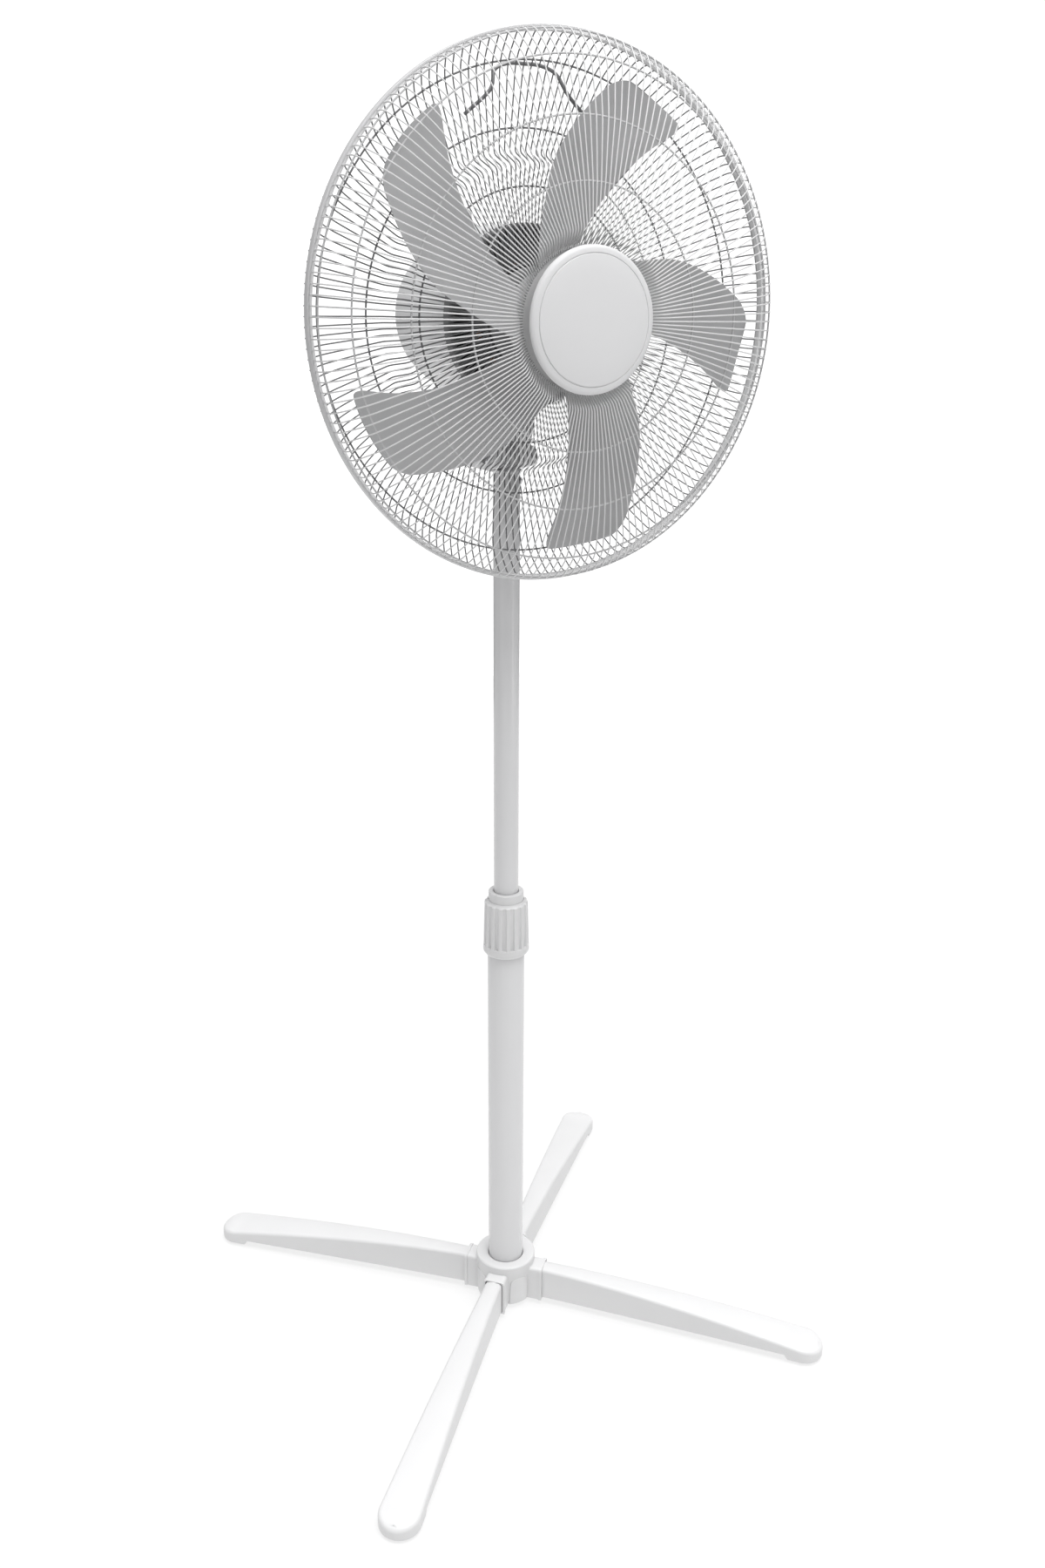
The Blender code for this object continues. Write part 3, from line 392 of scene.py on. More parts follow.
def waves(count, depth):
    """Cut for a grip with a number of even lobes."""
    return lambda angle: depth * (1.0 - math.cos(angle * count)) / 2


def cylinder(radius, low, high, bore=0.0, ease=0.0):
    """Closed outline of a rod or tube with eased outer edges."""
    return eased([(bore, low), (radius, low, ease), (radius, high, ease), (bore, high)])


def prism(points, low, high, matrix=None, ease=0.0):
    """Extrude a plan outline between two heights, and ease every edge."""
    part = bmesh.new()
    bottom = [part.verts.new((x, y, low)) for x, y in points]
    top = [part.verts.new((x, y, high)) for x, y in points]
    skin(part, bottom, top)
    part.faces.new(bottom[::-1])
    part.faces.new(top)
    if ease > 0.0:
        sharp = [edge for edge in part.edges if edge.calc_face_angle(0.0) > math.radians(28)]
        bmesh.ops.bevel(part, geom=sharp, offset=ease, segments=2, affect="EDGES", clamp_overlap=True)
    if matrix is not None:
        bmesh.ops.transform(part, matrix=matrix, verts=part.verts)
    return part


def side_prism(points, half_width, ease=0.0, x=0.0):
    """Extrude a (y, z) outline across X."""
    return prism(points, x - half_width, x + half_width, SIDEWAYS, ease)


def block(low, high, matrix=None, ease=0.0):
    """Box between two corners."""
    points = [(low[0], low[1]), (high[0], low[1]), (high[0], high[1]), (low[0], high[1])]
    return prism(points, low[2], high[2], matrix, ease)


def join(bm, other):
    """Add one bmesh's faces to another."""
    mesh = bpy.data.meshes.new("joined")
    other.to_mesh(mesh)
    other.free()
    bm.from_mesh(mesh)
    bpy.data.meshes.remove(mesh)


def plain_object(bm):
    """Put a bmesh into an object for a Boolean."""
    mesh = bpy.data.meshes.new("tool")
    bmesh.ops.recalc_face_normals(bm, faces=bm.faces)
    bm.to_mesh(mesh)
    bm.free()
    obj = bpy.data.objects.new("tool", mesh)
    bpy.context.scene.collection.objects.link(obj)
    return obj


def boolean(bm, tool, operation="DIFFERENCE"):
    """Boolean of two bmeshes, as a new bmesh."""
    first, second = plain_object(bm), plain_object(tool)
    modifier = first.modifiers.new("shape", "BOOLEAN")
    modifier.operation = operation
    modifier.object = second
    modifier.solver = "EXACT"
    result = bmesh.new()
    result.from_object(first, bpy.context.evaluated_depsgraph_get())
    if not result.faces:
        raise RuntimeError("a Boolean came out empty")
    for obj in (first, second):
        mesh = obj.data
        bpy.data.objects.remove(obj)
        bpy.data.meshes.remove(mesh)
    return result


def piece(name, bm, look, body, nodes=(), crease=32.0):
    """Make a shown piece: smooth shaded, riding on a body, standing for CAD nodes."""
    bmesh.ops.remove_doubles(bm, verts=bm.verts, dist=1e-7)
    bmesh.ops.recalc_face_normals(bm, faces=bm.faces)
    mesh = bpy.data.meshes.new(name)
    bm.to_mesh(mesh)
    bm.free()
    mesh.materials.append(look)
    mesh.shade_smooth()
    mesh.set_sharp_from_angle(angle=math.radians(crease))
    obj = bpy.data.objects.new(name, mesh)
    bpy.context.scene.collection.objects.link(obj)
    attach(obj, body)
    if nodes:
        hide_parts(*nodes)


def smooth_step(t):
    """0 to 1 with flat ends."""
    t = max(0.0, min(1.0, t))
    return t * t * (3.0 - 2.0 * t)


def curve_through(table, x):
    """Smooth value between (x, value) pairs."""
    if x <= table[0][0]:
        return table[0][1]
    if x >= table[-1][0]:
        return table[-1][1]
    i = max(k for k in range(len(table) - 1) if table[k][0] <= x)
    slopes = [(b[1] - a[1]) / (b[0] - a[0]) for a, b in zip(table, table[1:])]

    def slope_at(k):
        if k == 0:
            return slopes[0]
        if k == len(table) - 1:
            return slopes[-1]
        return (slopes[k - 1] + slopes[k]) / 2

    (x0, v0), (x1, v1) = table[i], table[i + 1]
    width = x1 - x0
    t = (x - x0) / width
    return (v0 * (1 + 2 * t) * (1 - t) ** 2 + v1 * t * t * (3 - 2 * t)
            + width * (slope_at(i) * t * (1 - t) ** 2 - slope_at(i + 1) * t * t * (1 - t)))


# ------------------------------------------------------------------ base
def leg_half_width(reach):
    """Half a leg's width, widening towards the tip."""
    share = (reach - LEG_ROOT) / (LEG_REACH - LEG_ROOT)
    return LEG_ROOT_HALF + (LEG_TIP_R - LEG_ROOT_HALF) * max(share, 0.0) ** 1.15


def leg_top(reach):
    """Height of a leg's upper face, arching down to the tip."""
    share = (reach - LEG_ROOT) / (LEG_REACH - LEG_ROOT)
    if share <= 1.0:
        return LEG_ROOT_TOP - (LEG_ROOT_TOP - LEG_TIP_TOP) * max(share, 0.0) ** 1.7
    return LEG_TIP_TOP - 0.0035 * ((reach - LEG_REACH) / LEG_TIP_R) ** 2


def leg_outline(inset):
    """(reach, half width) from the root round to the tip, drawn in by an inset."""
    steps, turn = 34, 14
    root = LEG_ROOT - LEG_PLUG
    stations = [root + (LEG_REACH - root) * i / steps for i in range(steps + 1)]
    stations.insert(sum(s < FOOT_START for s in stations), FOOT_START)
    points = [(reach, leg_half_width(reach) - inset) for reach in stations]
    radius = LEG_TIP_R - inset
    points += arc((LEG_REACH, 0.0), radius, math.pi / 2, -math.pi / 2, turn)[1:-1]
    return points + [(LEG_REACH + radius, 0.0)]


def make_leg(name, heading):
    """One leg: flat sides, a softly rounded top edge, a crowned top and a foot step under the tip."""
    ease, crown, under_ease = 0.0040, 0.0014, 0.0008
    bm = bmesh.new()
    turn = Matrix.Rotation(heading, 4, "Z")

    def row(inset, height_of):
        points = leg_outline(inset)
        left = [bm.verts.new(turn @ Vector((x, w, height_of(x)))) for x, w in points]
        right = [bm.verts.new(turn @ Vector((x, -w, height_of(x)))) for x, w in points[:-1]]
        return left + right[::-1]

    def under(reach):
        return FOOT_UNDER if reach > FOOT_START - 1e-6 else LEG_UNDER

    rows = [row(under_ease, under), row(0.0, lambda reach: under(reach) + under_ease)]
    corners = 5
    for i in range(corners + 1):
        angle = math.pi / 2 * i / corners
        inset = ease * (1.0 - math.cos(angle))
        rows.append(row(inset, lambda reach, a=angle: leg_top(reach) - ease * (1.0 - math.sin(a))))
    for near, far in zip(rows, rows[1:]):
        skin(bm, near, far, closed=False)
    for edge_row, lift in ((rows[0], 0.0), (rows[-1], crown)):      # flat underside, crowned top
        count = len(edge_row) // 2
        middle = []
        for i in range(count):
            spot = (edge_row[i].co + edge_row[-1 - i].co) / 2
            spot.z += lift
            middle.append(bm.verts.new(spot))
        middle.append(edge_row[count])
        for i in range(count - 1):
            bm.faces.new((edge_row[i], edge_row[i + 1], middle[i + 1], middle[i]))
            bm.faces.new((middle[i], middle[i + 1], edge_row[-2 - i], edge_row[-1 - i]))
        bm.faces.new((edge_row[count - 1], middle[count], middle[count - 1]))
        bm.faces.new((middle[count - 1], middle[count], edge_row[count + 1]))
    bmesh.ops.holes_fill(bm, edges=bm.edges)
    piece("leg_shell_" + name, bm, WHITE, "base", ["leg_" + name], crease=40)


def socket_outline(half, low, high, round_top):
    """(across, up) outline of a socket: square below, rounded above."""
    return eased([(-half, low, 0.0006), (half, low, 0.0006), (half, high, round_top),
                  (-half, high, round_top)], steps=5)


def make_hub():
    """Hub moulding: dished collar on top, four sockets, arched panels between them."""
    wall_r = HUB_R - 0.0016
    dish_r, dish_z = 0.0222, HUB_TOP - 0.0006
    bore = LOWER_R + 0.0006
    body = lathe(eased([(BOLT_BORE, HUB_LOW), (wall_r - 0.0016, HUB_LOW, 0.0010), (wall_r, 0.0120, 0.002),
                        (wall_r, 0.0340, 0.0030), (HUB_R, 0.0475, 0.0030),
                        (HUB_R, HUB_TOP - 0.0012, 0.0006), (HUB_R - 0.0012, HUB_TOP, 0.0006),
                        (dish_r, dish_z, 0.0010), (bore, dish_z - 0.0010, 0.0004), (bore, HUB_FLOOR),
                        (BOLT_BORE, HUB_FLOOR)], steps=4), upright(), 128)
    panel_half, panel_top, panel_r = 0.0112, 0.0405, HUB_R - 0.0002
    panels = []
    for i in range(4):
        heading = math.radians(45 + 90 * i)
        sleeve = prism(socket_outline(SOCKET_HALF_W - 0.0008, HUB_LOW + 0.0003,
                                      SOCKET_TOP - 0.0012, 0.0048),
                       0.0240, SOCKET_OUT - 0.0014, out_along(heading))
        body = boolean(body, sleeve, "UNION")
        lip = prism(socket_outline(SOCKET_HALF_W, HUB_LOW + 0.0001, SOCKET_TOP - 0.0004, 0.0052),
                    SOCKET_OUT - 0.0032, SOCKET_OUT, out_along(heading), ease=0.0006)
        body = boolean(body, lip, "UNION")
        opening = prism(socket_outline(LEG_ROOT_HALF + 0.0008, LEG_UNDER - 0.0010,
                                       LEG_ROOT_TOP + 0.0008, 0.0036),
                        LEG_ROOT - LEG_PLUG - 0.0008, SOCKET_OUT + 0.01, out_along(heading))
        body = boolean(body, opening)
        panel = prism(eased([(-panel_half, HUB_LOW - 0.001), (panel_half, HUB_LOW - 0.001),
                             (panel_half - 0.0012, panel_top, 0.0075),
                             (0.0012 - panel_half, panel_top, 0.0075)], steps=7),
                      0.0280, 0.0400, out_along(heading + math.pi / 4))
        rind = lathe(eased([(0.0300, HUB_LOW), (panel_r - 0.0012, HUB_LOW, 0.0006),
                            (panel_r, 0.0125, 0.002), (panel_r, 0.0450), (0.0300, 0.0450)]),
                     upright(), 128)
        panels.append(boolean(rind, panel, "INTERSECT"))
    for panel in panels:
        join(body, panel)
    piece("hub_moulding", body, WHITE, "base", ["base_hub"], crease=34)


def make_base():
    """Hub, four legs and the rubber foot under each tip."""
    make_hub()
    for i, name in enumerate(("back_right", "back_left", "front_left", "front_right")):
        heading = math.radians(45 + 90 * i)
        make_leg(name, heading)
        at = upright(PAD_REACH * math.cos(heading), PAD_REACH * math.sin(heading))
        top = FOOT_UNDER - GAP
        pad = lathe(eased([(0, 0.0007), (0.0085, 0.0007), (0.0090, 0.0), (0.0128, 0.0, 0.0006),
                           (PAD_R, 0.0009, 0.0006), (PAD_R, top), (0, top)]), at, 40)
        piece("foot_sole_" + name, pad, RUBBER, "base", ["foot_pad_" + name])


# ------------------------------------------------------------------ mast
def flute_cut(angle):
    """Depth of the lock collar's grip at an angle: 0 on a rib, full in the groove beside it."""
    depth, phase = 0.0028, 0.81
    turn = (angle * FLUTES / TAU + phase) % 1.0
    off = abs(turn - 0.5) * 2.0
    return depth * smooth_step((off - 0.42) / 0.16)


def make_collar():
    """Hand nut: rolled shoulder, fluted grip, smooth band at the foot."""
    def radius_at(z):
        taper = (COLLAR_R_HIGH - COLLAR_R_LOW) / (SHOULDER - COLLAR_LOW)
        return COLLAR_R_LOW + taper * (z - COLLAR_LOW)

    band_top, grip_middle, shoulder = COLLAR_LOW + 0.0098, COLLAR_LOW + 0.0250, SHOULDER - 0.0004
    grip_top = shoulder - 0.0080
    roof = BUSH_STEP + 0.0010
    outline = [  # (radius, height, share of the groove's depth)
        (COLLAR_BORE, COLLAR_LOW + 0.0030, 0.0),
        (COLLAR_BORE + 0.0004, COLLAR_LOW, 0.0),
        (COLLAR_R_LOW - 0.0022, COLLAR_LOW, 0.0),
        (COLLAR_R_LOW - 0.0012, COLLAR_LOW + 0.0012, 0.0),
        (COLLAR_R_LOW - 0.0002, COLLAR_LOW + 0.0030, 0.0),
        (COLLAR_R_LOW, COLLAR_LOW + 0.0038, 0.0),
        (radius_at(band_top), band_top - 0.0010, 0.0),
        (radius_at(band_top) - 0.0001, band_top, 0.0),
        (radius_at(band_top) - 0.0002, band_top + 0.0003, 0.9),
        (radius_at(band_top) - 0.0002, band_top + 0.0014, 1.0),
        (radius_at(grip_middle), grip_middle, 0.80),
        (radius_at(grip_top), grip_top, 0.52),
        (radius_at(shoulder), shoulder - 0.0006, 0.45),
        (radius_at(shoulder), shoulder, 0.42),
        (radius_at(shoulder) - 0.0004, shoulder + 0.0003, 0.25),
        (radius_at(shoulder) - 0.0013, shoulder + 0.0008, 0.1),
        (radius_at(shoulder) - 0.0023, shoulder + 0.0014, 0.0),
        (BUSH_R + 0.0014, shoulder + 0.0022, 0.0),
        (BUSH_R + 0.0008, COLLAR_HIGH, 0.0),
        (BUSH_R + 0.0004, COLLAR_HIGH, 0.0),
        (BUSH_R + 0.0004, roof, 0.0),
        (COLLAR_BORE, roof, 0.0),
    ]
    grip = lathe(outline, upright(), FLUTES * 14, cut=flute_cut)
    piece("collar_grip", grip, WHITE, "collar", ["height_collar"], crease=50)


def make_mast():
    """The two tubes, the bush between them and the lock collar."""
    lower = lathe(cylinder(LOWER_R, LOWER_LOW, LOWER_TOP, LOWER_R - TUBE_WALL, 0.0004), upright(), 128)
    piece("outer_tube", lower, GLOSS_WHITE, "base", ["lower_tube"])
    upper = lathe(cylinder(UPPER_R, UPPER_LOW, UPPER_TOP, UPPER_R - TUBE_WALL, 0.0004), upright(), 96)
    piece("inner_tube", upper, GLOSS_WHITE, "mast", ["upper_tube"])
    step = LOWER_TOP + GAP
    bush = lathe(eased([(LOWER_R + GAP, BUSH_LOW), (BUSH_SKIRT_R, BUSH_LOW),
                        (BUSH_SKIRT_R, BUSH_STEP - 0.0010, 0.0004), (BUSH_R, BUSH_STEP, 0.0004),
                        (BUSH_R, BUSH_TOP - 0.0002, 0.0008),
                        (UPPER_R + 0.0008, BUSH_TOP, 0.0003), (UPPER_R + 0.0005, BUSH_TOP - 0.0006, 0.0003),
                        (UPPER_R + 0.0005, step), (LOWER_R + GAP, step)]), upright(), 96)
    piece("bush_ring", bush, WHITE, "base", ["collar_bush"])
    make_collar()


# ------------------------------------------------------------------ neck and switch box
def slope_frame():
    """Frame on the button face: local Z points out of it, local X stays across."""
    start, end = Vector((0.0, *SLOPE_START)), Vector((0.0, *SLOPE_END))
    along = (end - start).normalized()
    across = Vector((1.0, 0.0, 0.0))
    out = across.cross(along)
    middle = (start + end) / 2
    return Matrix(((across.x, along.x, out.x, middle.x), (across.y, along.y, out.y, middle.y),
                   (across.z, along.z, out.z, middle.z), (0, 0, 0, 1)))


def make_neck():
    """Cap on the upper tube with the tilt tongue on it, and the switch box behind."""
    sleeve = lathe(eased([(0, NECK_LOW), (NECK_R, NECK_LOW, 0.0004), (NECK_R, NECK_TOP, 0.0004),
                          (0, NECK_TOP)]), upright(), 96)
    barrel, tongue_half = 0.0093, 0.0070
    tongue = [(-barrel, NECK_TOP - 0.0010), (barrel, NECK_TOP - 0.0010)]
    tongue += arc((0.0, TILT_Z), barrel, 0.0, math.pi, 20)
    sleeve = boolean(sleeve, side_prism(tongue, tongue_half, ease=0.0005), "UNION")
    piece("neck_sleeve", sleeve, COVER, "mast")

    shell = side_prism(eased([(BOX_FRONT, BOX_LOW, 0.0004), (BOX_BACK, BOX_LOW, 0.0040),
                              (*SLOPE_END, 0.0014), (*SLOPE_START, 0.0014),
                              (BOX_FRONT, BOX_HIGH, 0.0030)]), BOX_HALF_W, ease=0.0008)
    saddle_end, saddle_top = BOX_FRONT + 0.0020, NECK_TOP - 0.0002
    saddle = side_prism([(0.0, BOX_LOW), (saddle_end, BOX_LOW), (saddle_end, saddle_top),
                         (0.0, saddle_top)], BOX_HALF_W - 0.0001)
    shell = boolean(shell, saddle, "UNION")
    wall = 0.0020
    hollow = side_prism([(BOX_FRONT + wall, BOX_LOW - 0.01), (BOX_BACK - wall, BOX_LOW - 0.01),
                         (BOX_BACK - wall, SLOPE_END[1] - 0.0013),
                         (SLOPE_START[0] - 0.0006, BOX_HIGH - wall),
                         (BOX_FRONT + wall, BOX_HIGH - wall)], BOX_HALF_W - wall)
    shell = boolean(shell, hollow)
    for number in range(4):
        x = (number - 1.5) * BUTTON_PITCH
        half_w, half_l = BUTTON_W / 2 + GAP, BUTTON_L / 2 + GAP
        hole = block((x - half_w, -half_l, -0.006), (x + half_w, half_l, 0.006), slope_frame())
        shell = boolean(shell, hole)
    piece("switch_box", shell, COVER, "mast", ["neck"], crease=30)
    for number in range(4):
        make_speed_key(number)


def make_speed_key(number):
    """Push button with three finger grooves."""
    x = (number - 1.5) * BUTTON_PITCH
    half_w, half_l, top = BUTTON_W / 2, BUTTON_L / 2, 0.0040
    key = block((x - half_w, -half_l, -0.0055), (x + half_w, half_l, top), slope_frame(), ease=0.0010)
    reach, half_groove, depth = half_w * 0.62, 0.0003, 0.0004
    for i in range(3):
        y = -half_l * 0.45 + i * half_l * 0.28
        groove = block((x - reach, y - half_groove, top - depth), (x + reach, y + half_groove, top + 0.0002),
                       slope_frame())
        key = boolean(key, groove)
    piece("speed_key_%d" % number, key, WHITE, "button_%d" % number, ["speed_button_%d" % number])


# ------------------------------------------------------------------ tilt joint
def make_tilt_bracket():
    """Yoke: a plate with a cheek on each side of the tongue and a post for the link arm."""
    inner, outer, cheek_r, depth = 0.0073, 0.0200, 0.0105, 0.0150
    haunch = BRACKET_LOW + 0.0100
    plate = eased([(-cheek_r, BRACKET_LOW), (cheek_r, BRACKET_LOW), (depth, haunch, 0.004),
                   (depth, BRACKET_TOP, 0.0016), (-depth, BRACKET_TOP, 0.0016), (-depth, haunch, 0.004)])
    bracket = side_prism(plate, outer, ease=0.0009)
    for side in (-1, 1):
        cheek = [(cheek_r, BRACKET_LOW + 0.001), (-cheek_r, BRACKET_LOW + 0.001)]
        cheek += arc((0.0, TILT_Z), cheek_r, math.pi, math.pi, 20)
        middle = side * (outer + inner) / 2
        bracket = boolean(bracket, side_prism(cheek, (outer - inner) / 2, 0.0006, middle), "UNION")
    post = lathe(cylinder(0.0020, BRACKET_TOP - 0.002, 1.0225), upright(0.0140, 0.0), 24)
    pivot_bore = lathe(cylinder(0.0063, 0.9785, 1.01), upright(), 48)
    bolt_hole = lathe(cylinder(TILT_HOLE, -0.03, 0.03), tilt_axis(), 32)
    bracket = boolean(bracket, post, "UNION")
    bracket = boolean(bracket, pivot_bore)
    bracket = boolean(bracket, bolt_hole)
    piece("tilt_yoke_casting", bracket, COVER, "tilt_yoke", ["tilt_bracket"])


def make_tilt_knob():
    """Lobed hand knob on the end of the tilt bolt."""
    outline = [  # (radius, x, share of the lobes' depth)
        (0.0, 0.0203), (0.0080, 0.0203, 0.0), (0.0088, 0.0203, 0.6), (0.0096, 0.0209, 1.0),
        (0.0096, 0.0268, 1.0), (0.0092, 0.0283, 0.8), (0.0082, 0.0290, 0.4), (0.0060, 0.0292, 0.0),
        (0.0045, 0.0286, 0.0), (0.0, 0.0284),
    ]
    knob = lathe(outline, tilt_axis(), 96, cut=waves(8, 0.0012))
    knob = boolean(knob, lathe(cylinder(TILT_HOLE, 0.01, 0.0256), tilt_axis(), 32))
    piece("tilt_hand_knob", knob, WHITE, "tilt_grip", ["tilt_knob"], crease=50)


# ------------------------------------------------------------------ motor covers
def bell_radius(y):
    """Outer radius of the rear cover, narrowing gently and then rounding off at its back."""
    taper = COVER_R - 0.0100 * max(0.0, (y - 0.0400) / 0.0500) ** 1.3
    turn = (y - BELL_TURN) / (COVER_BACK - BELL_TURN)
    if turn <= 0.0:
        return taper
    return bell_radius(BELL_TURN) - 0.0420 * (1.0 - math.sqrt(max(0.0, 1.0 - turn * turn)))


def radial_tool(angle, half_w, low_y, high_y, inner, outer, ends=5):
    """Cutter for a round-ended slot that runs outwards from the fan axis."""
    points = []
    for centre, start in ((outer - half_w, 0.0), (inner + half_w, math.pi)):
        points += arc((0.0, centre), half_w, start, math.pi, ends)
    turn = Matrix.Translation((0, 0, AXIS_Z)) @ Matrix.Rotation(angle, 4, "Y")
    flat = Matrix(((1, 0, 0, 0), (0, 0, 1, 0), (0, 1, 0, 0), (0, 0, 0, 1)))
    return prism(points, low_y, high_y, turn @ flat)


def ring_of_tools(count, phase, half_w, low_y, high_y, inner, outer):
    """Slot cutters evenly round the fan axis, turned on by a share of their pitch."""
    tools = bmesh.new()
    for i in range(count):
        join(tools, radial_tool(TAU * (i + phase) / count, half_w, low_y, high_y, inner, outer))
    return tools


def make_bell():
    """Light rear cover with vents in its back, and the oscillation knob on top of it."""
    wall = 0.0026
    stations = [COVER_SPLIT + (BELL_TURN - COVER_SPLIT) * i / 14 for i in range(15)]
    stations += [BELL_TURN + (COVER_BACK - BELL_TURN) * math.sin(math.pi / 2 * i / 10)
                 for i in range(1, 11)]
    outer = [(bell_radius(y), y) for y in stations]
    outer[0] = (bell_radius(COVER_SPLIT) - 0.0006, COVER_SPLIT)
    outer.insert(1, (bell_radius(COVER_SPLIT), COVER_SPLIT + 0.0006))
    inner = [(bell_radius(y) - wall, min(y, COVER_BACK - wall)) for y in stations]
    bell = lathe(outer + [(0.0100, COVER_BACK), (0.0094, COVER_BACK - 0.0008), (0.0, COVER_BACK - 0.0008),
                          (0.0, COVER_BACK - wall)] + inner[::-1], fan_axis(), 96)
    vents = ring_of_tools(10, 0.5, half_w=0.0022, low_y=0.1000, high_y=0.1300, inner=0.0120, outer=0.0280)
    bracket_hole = lathe(cylinder(0.0215, 0.99, 1.03), upright(), 64)
    spindle_hole = lathe(cylinder(0.0036, 1.13, 1.19), upright(*SPINDLE_AT), 24)
    for tool in (vents, bracket_hole, spindle_hole):
        bell = boolean(bell, tool)
    piece("bell_housing", bell, COVER, "head", ["motor_rear_cover"], crease=30)
    stem_low, grip_low, grip_top, stem_r, grip_r = 1.1190, 1.1640, 1.1770, 0.0030, 0.0084
    knob = lathe(eased([(0, stem_low), (stem_r, stem_low), (stem_r, grip_low),
                        (grip_r - 0.0006, grip_low, 0.0005), (grip_r, grip_low + 0.0015, 0.0010),
                        (grip_r - 0.0006, grip_top, 0.0018), (stem_r + 0.0010, grip_top),
                        (stem_r, grip_top - 0.0006), (0, grip_top - 0.0006)], steps=4),
                 upright(*SPINDLE_AT), 40)
    piece("swing_knob", knob, WHITE, "oscillation_pull", ["oscillation_knob"])


def make_vented_cover():
    """Dark front cover: slots round the rim, round openings, and short slots near the nut."""
    back, wall = COVER_SPLIT - GAP, 0.0024
    seat = COVER_FRONT - 0.0020
    face = COVER_FRONT + wall
    spigot_r, spigot_y, bore = NUT_BORE - GAP, NUT_FRONT + 0.0015, 0.0120
    cover = lathe(eased([(bore, spigot_y), (spigot_r, spigot_y, 0.0005), (spigot_r, seat, 0.0004),
                         (0.0300, seat, 0.0003), (0.0304, COVER_FRONT, 0.0003),
                         (COVER_R, COVER_FRONT, 0.0032), (COVER_R, back, 0.0004), (COVER_R - wall, back),
                         (COVER_R - wall, face, 0.002), (bore, face)]), fan_axis(), 96)
    low, high = COVER_FRONT - 0.02, COVER_FRONT + 0.0060
    slot_rows = [  # (count, phase, half width, inner radius, outer radius)
        (48, 0.5, 0.0026, 0.0585, 0.0750),
        (12, 0.5, 0.0040, 0.0456, 0.0537),
        (24, 0.0, 0.0013, 0.0318, 0.0400),
    ]
    for count, phase, half_w, inner, outer in slot_rows:
        cover = boolean(cover, ring_of_tools(count, phase, half_w, low, high, inner, outer))
    piece("vented_cover", cover, DARK, "head", ["motor_front_cover"], crease=28)


# ------------------------------------------------------------------ guards
def spokes(profile, matrix, bm, sides=8):
    """All radial wires of a guard: one round wire along a (radius, y) line, repeated round the axis."""
    points = [Vector(point) for point in profile]
    section = arc((0.0, 0.0), WIRE_R, 0.0, TAU, sides)[:-1]
    template = []
    for i, spot in enumerate(points):
        ahead = points[min(i + 1, len(points) - 1)] - points[max(i - 1, 0)]
        normal = Vector((-ahead.y, ahead.x)).normalized()
        template.append([(spot.x + out * normal.x, across, spot.y + out * normal.y)
                         for out, across in section])
    for wire in range(WIRES):
        turn = matrix @ Matrix.Rotation(TAU * (wire + 0.5) / WIRES, 4, "Z")
        rows = [[bm.verts.new(turn @ Vector(point)) for point in ring] for ring in template]
        for near, far in zip(rows, rows[1:]):
            skin(bm, near, far)
        bm.faces.new(rows[0])
        bm.faces.new(rows[-1])


def hoop(radius, y, bm, thickness=HOOP_R, sides=10):
    """Ring wire about the fan axis."""
    lathe(arc((radius, y), thickness, 0.0, TAU, sides)[:-1], fan_axis(), 192, bm)


def make_front_guard():
    """Domed wires that dip behind the cap, and the hoops inside them."""
    wires, hoops = bmesh.new(), bmesh.new()
    line = eased([(GUARD_RIM, BAND_Y - 0.0020), (GUARD_RIM, -0.0990, 0.0060), (0.2010, -0.1204, 0.010),
                  (0.1565, -0.1343, 0.010), (0.1066, -0.1424, 0.008), (0.0712, -0.1450, 0.0030),
                  (0.0594, -0.1352, 0.002), (0.0572, -0.1350)], steps=4, closed=False)
    spokes(line, fan_axis(), wires)
    for radius, y in ((0.2205, -0.0992), (0.2000, -0.1190), (0.1555, -0.1329), (0.1063, -0.1410)):
        hoop(radius, y, hoops)
    hoop(0.0580, -0.1335, hoops, END_HOOP_R)
    piece("front_wires", wires, WIRE, "head", ["front_guard"], crease=60)
    # the hoops take the darker copy of the wire coating: painted shade
    piece("front_hoops", hoops, SHADED_HOOP, "head", (), crease=60)


def make_rear_guard():
    """Shallow dish of wires with a step half way in, its hoops and the handle."""
    wires, hoops = bmesh.new(), bmesh.new()
    line = eased([(GUARD_RIM, BAND_Y + 0.0020), (GUARD_RIM, -0.0715, 0.0040), (0.2036, -0.0504, 0.012),
                  (0.1536, -0.0343, 0.012), (0.1355, -0.0283, 0.0040), (0.1255, -0.0468, 0.0040),
                  (0.1080, -0.0416, 0.006), (0.0800, -0.0434, 0.006), (0.0456, -0.0452)],
                 steps=5, closed=False)
    spokes(line, fan_axis(), wires)
    for radius, y in ((0.2034, -0.0519), (0.1535, -0.0358), (0.1075, -0.0431)):
        hoop(radius, y, hoops)
    hoop(0.0450, -0.0452, hoops, END_HOOP_R)
    carrying_handle(hoops)
    # the rear wires, hoops and handle take the darkest copy of the wire coating: painted shade
    piece("rear_wires", wires, SHADED_REAR_WIRE, "head", ["rear_guard"], crease=60)
    piece("rear_hoops", hoops, SHADED_REAR_WIRE, "head", (), crease=60)


def carrying_handle(bm):
    """Wire loop behind the top of the rear guard, to lift the fan by."""
    marks = [(0.172, -20.5, -0.0380), (0.184, -11.8, -0.0400), (0.1985, -8.6, -0.0330),
             (0.2030, -4.5, -0.0300), (0.2030, 0.0, -0.0300)]       # (radius, degrees off the top, y)
    marks += [(radius, -angle, y) for radius, angle, y in marks[-2::-1]]
    corners = []
    for radius, angle, y in marks:
        turn = math.radians(90.0 + angle)
        corners.append(Vector((radius * math.cos(turn), y, AXIS_Z + radius * math.sin(turn))))
    sweep(rounded_path(corners, 6), 0.0016, bm)


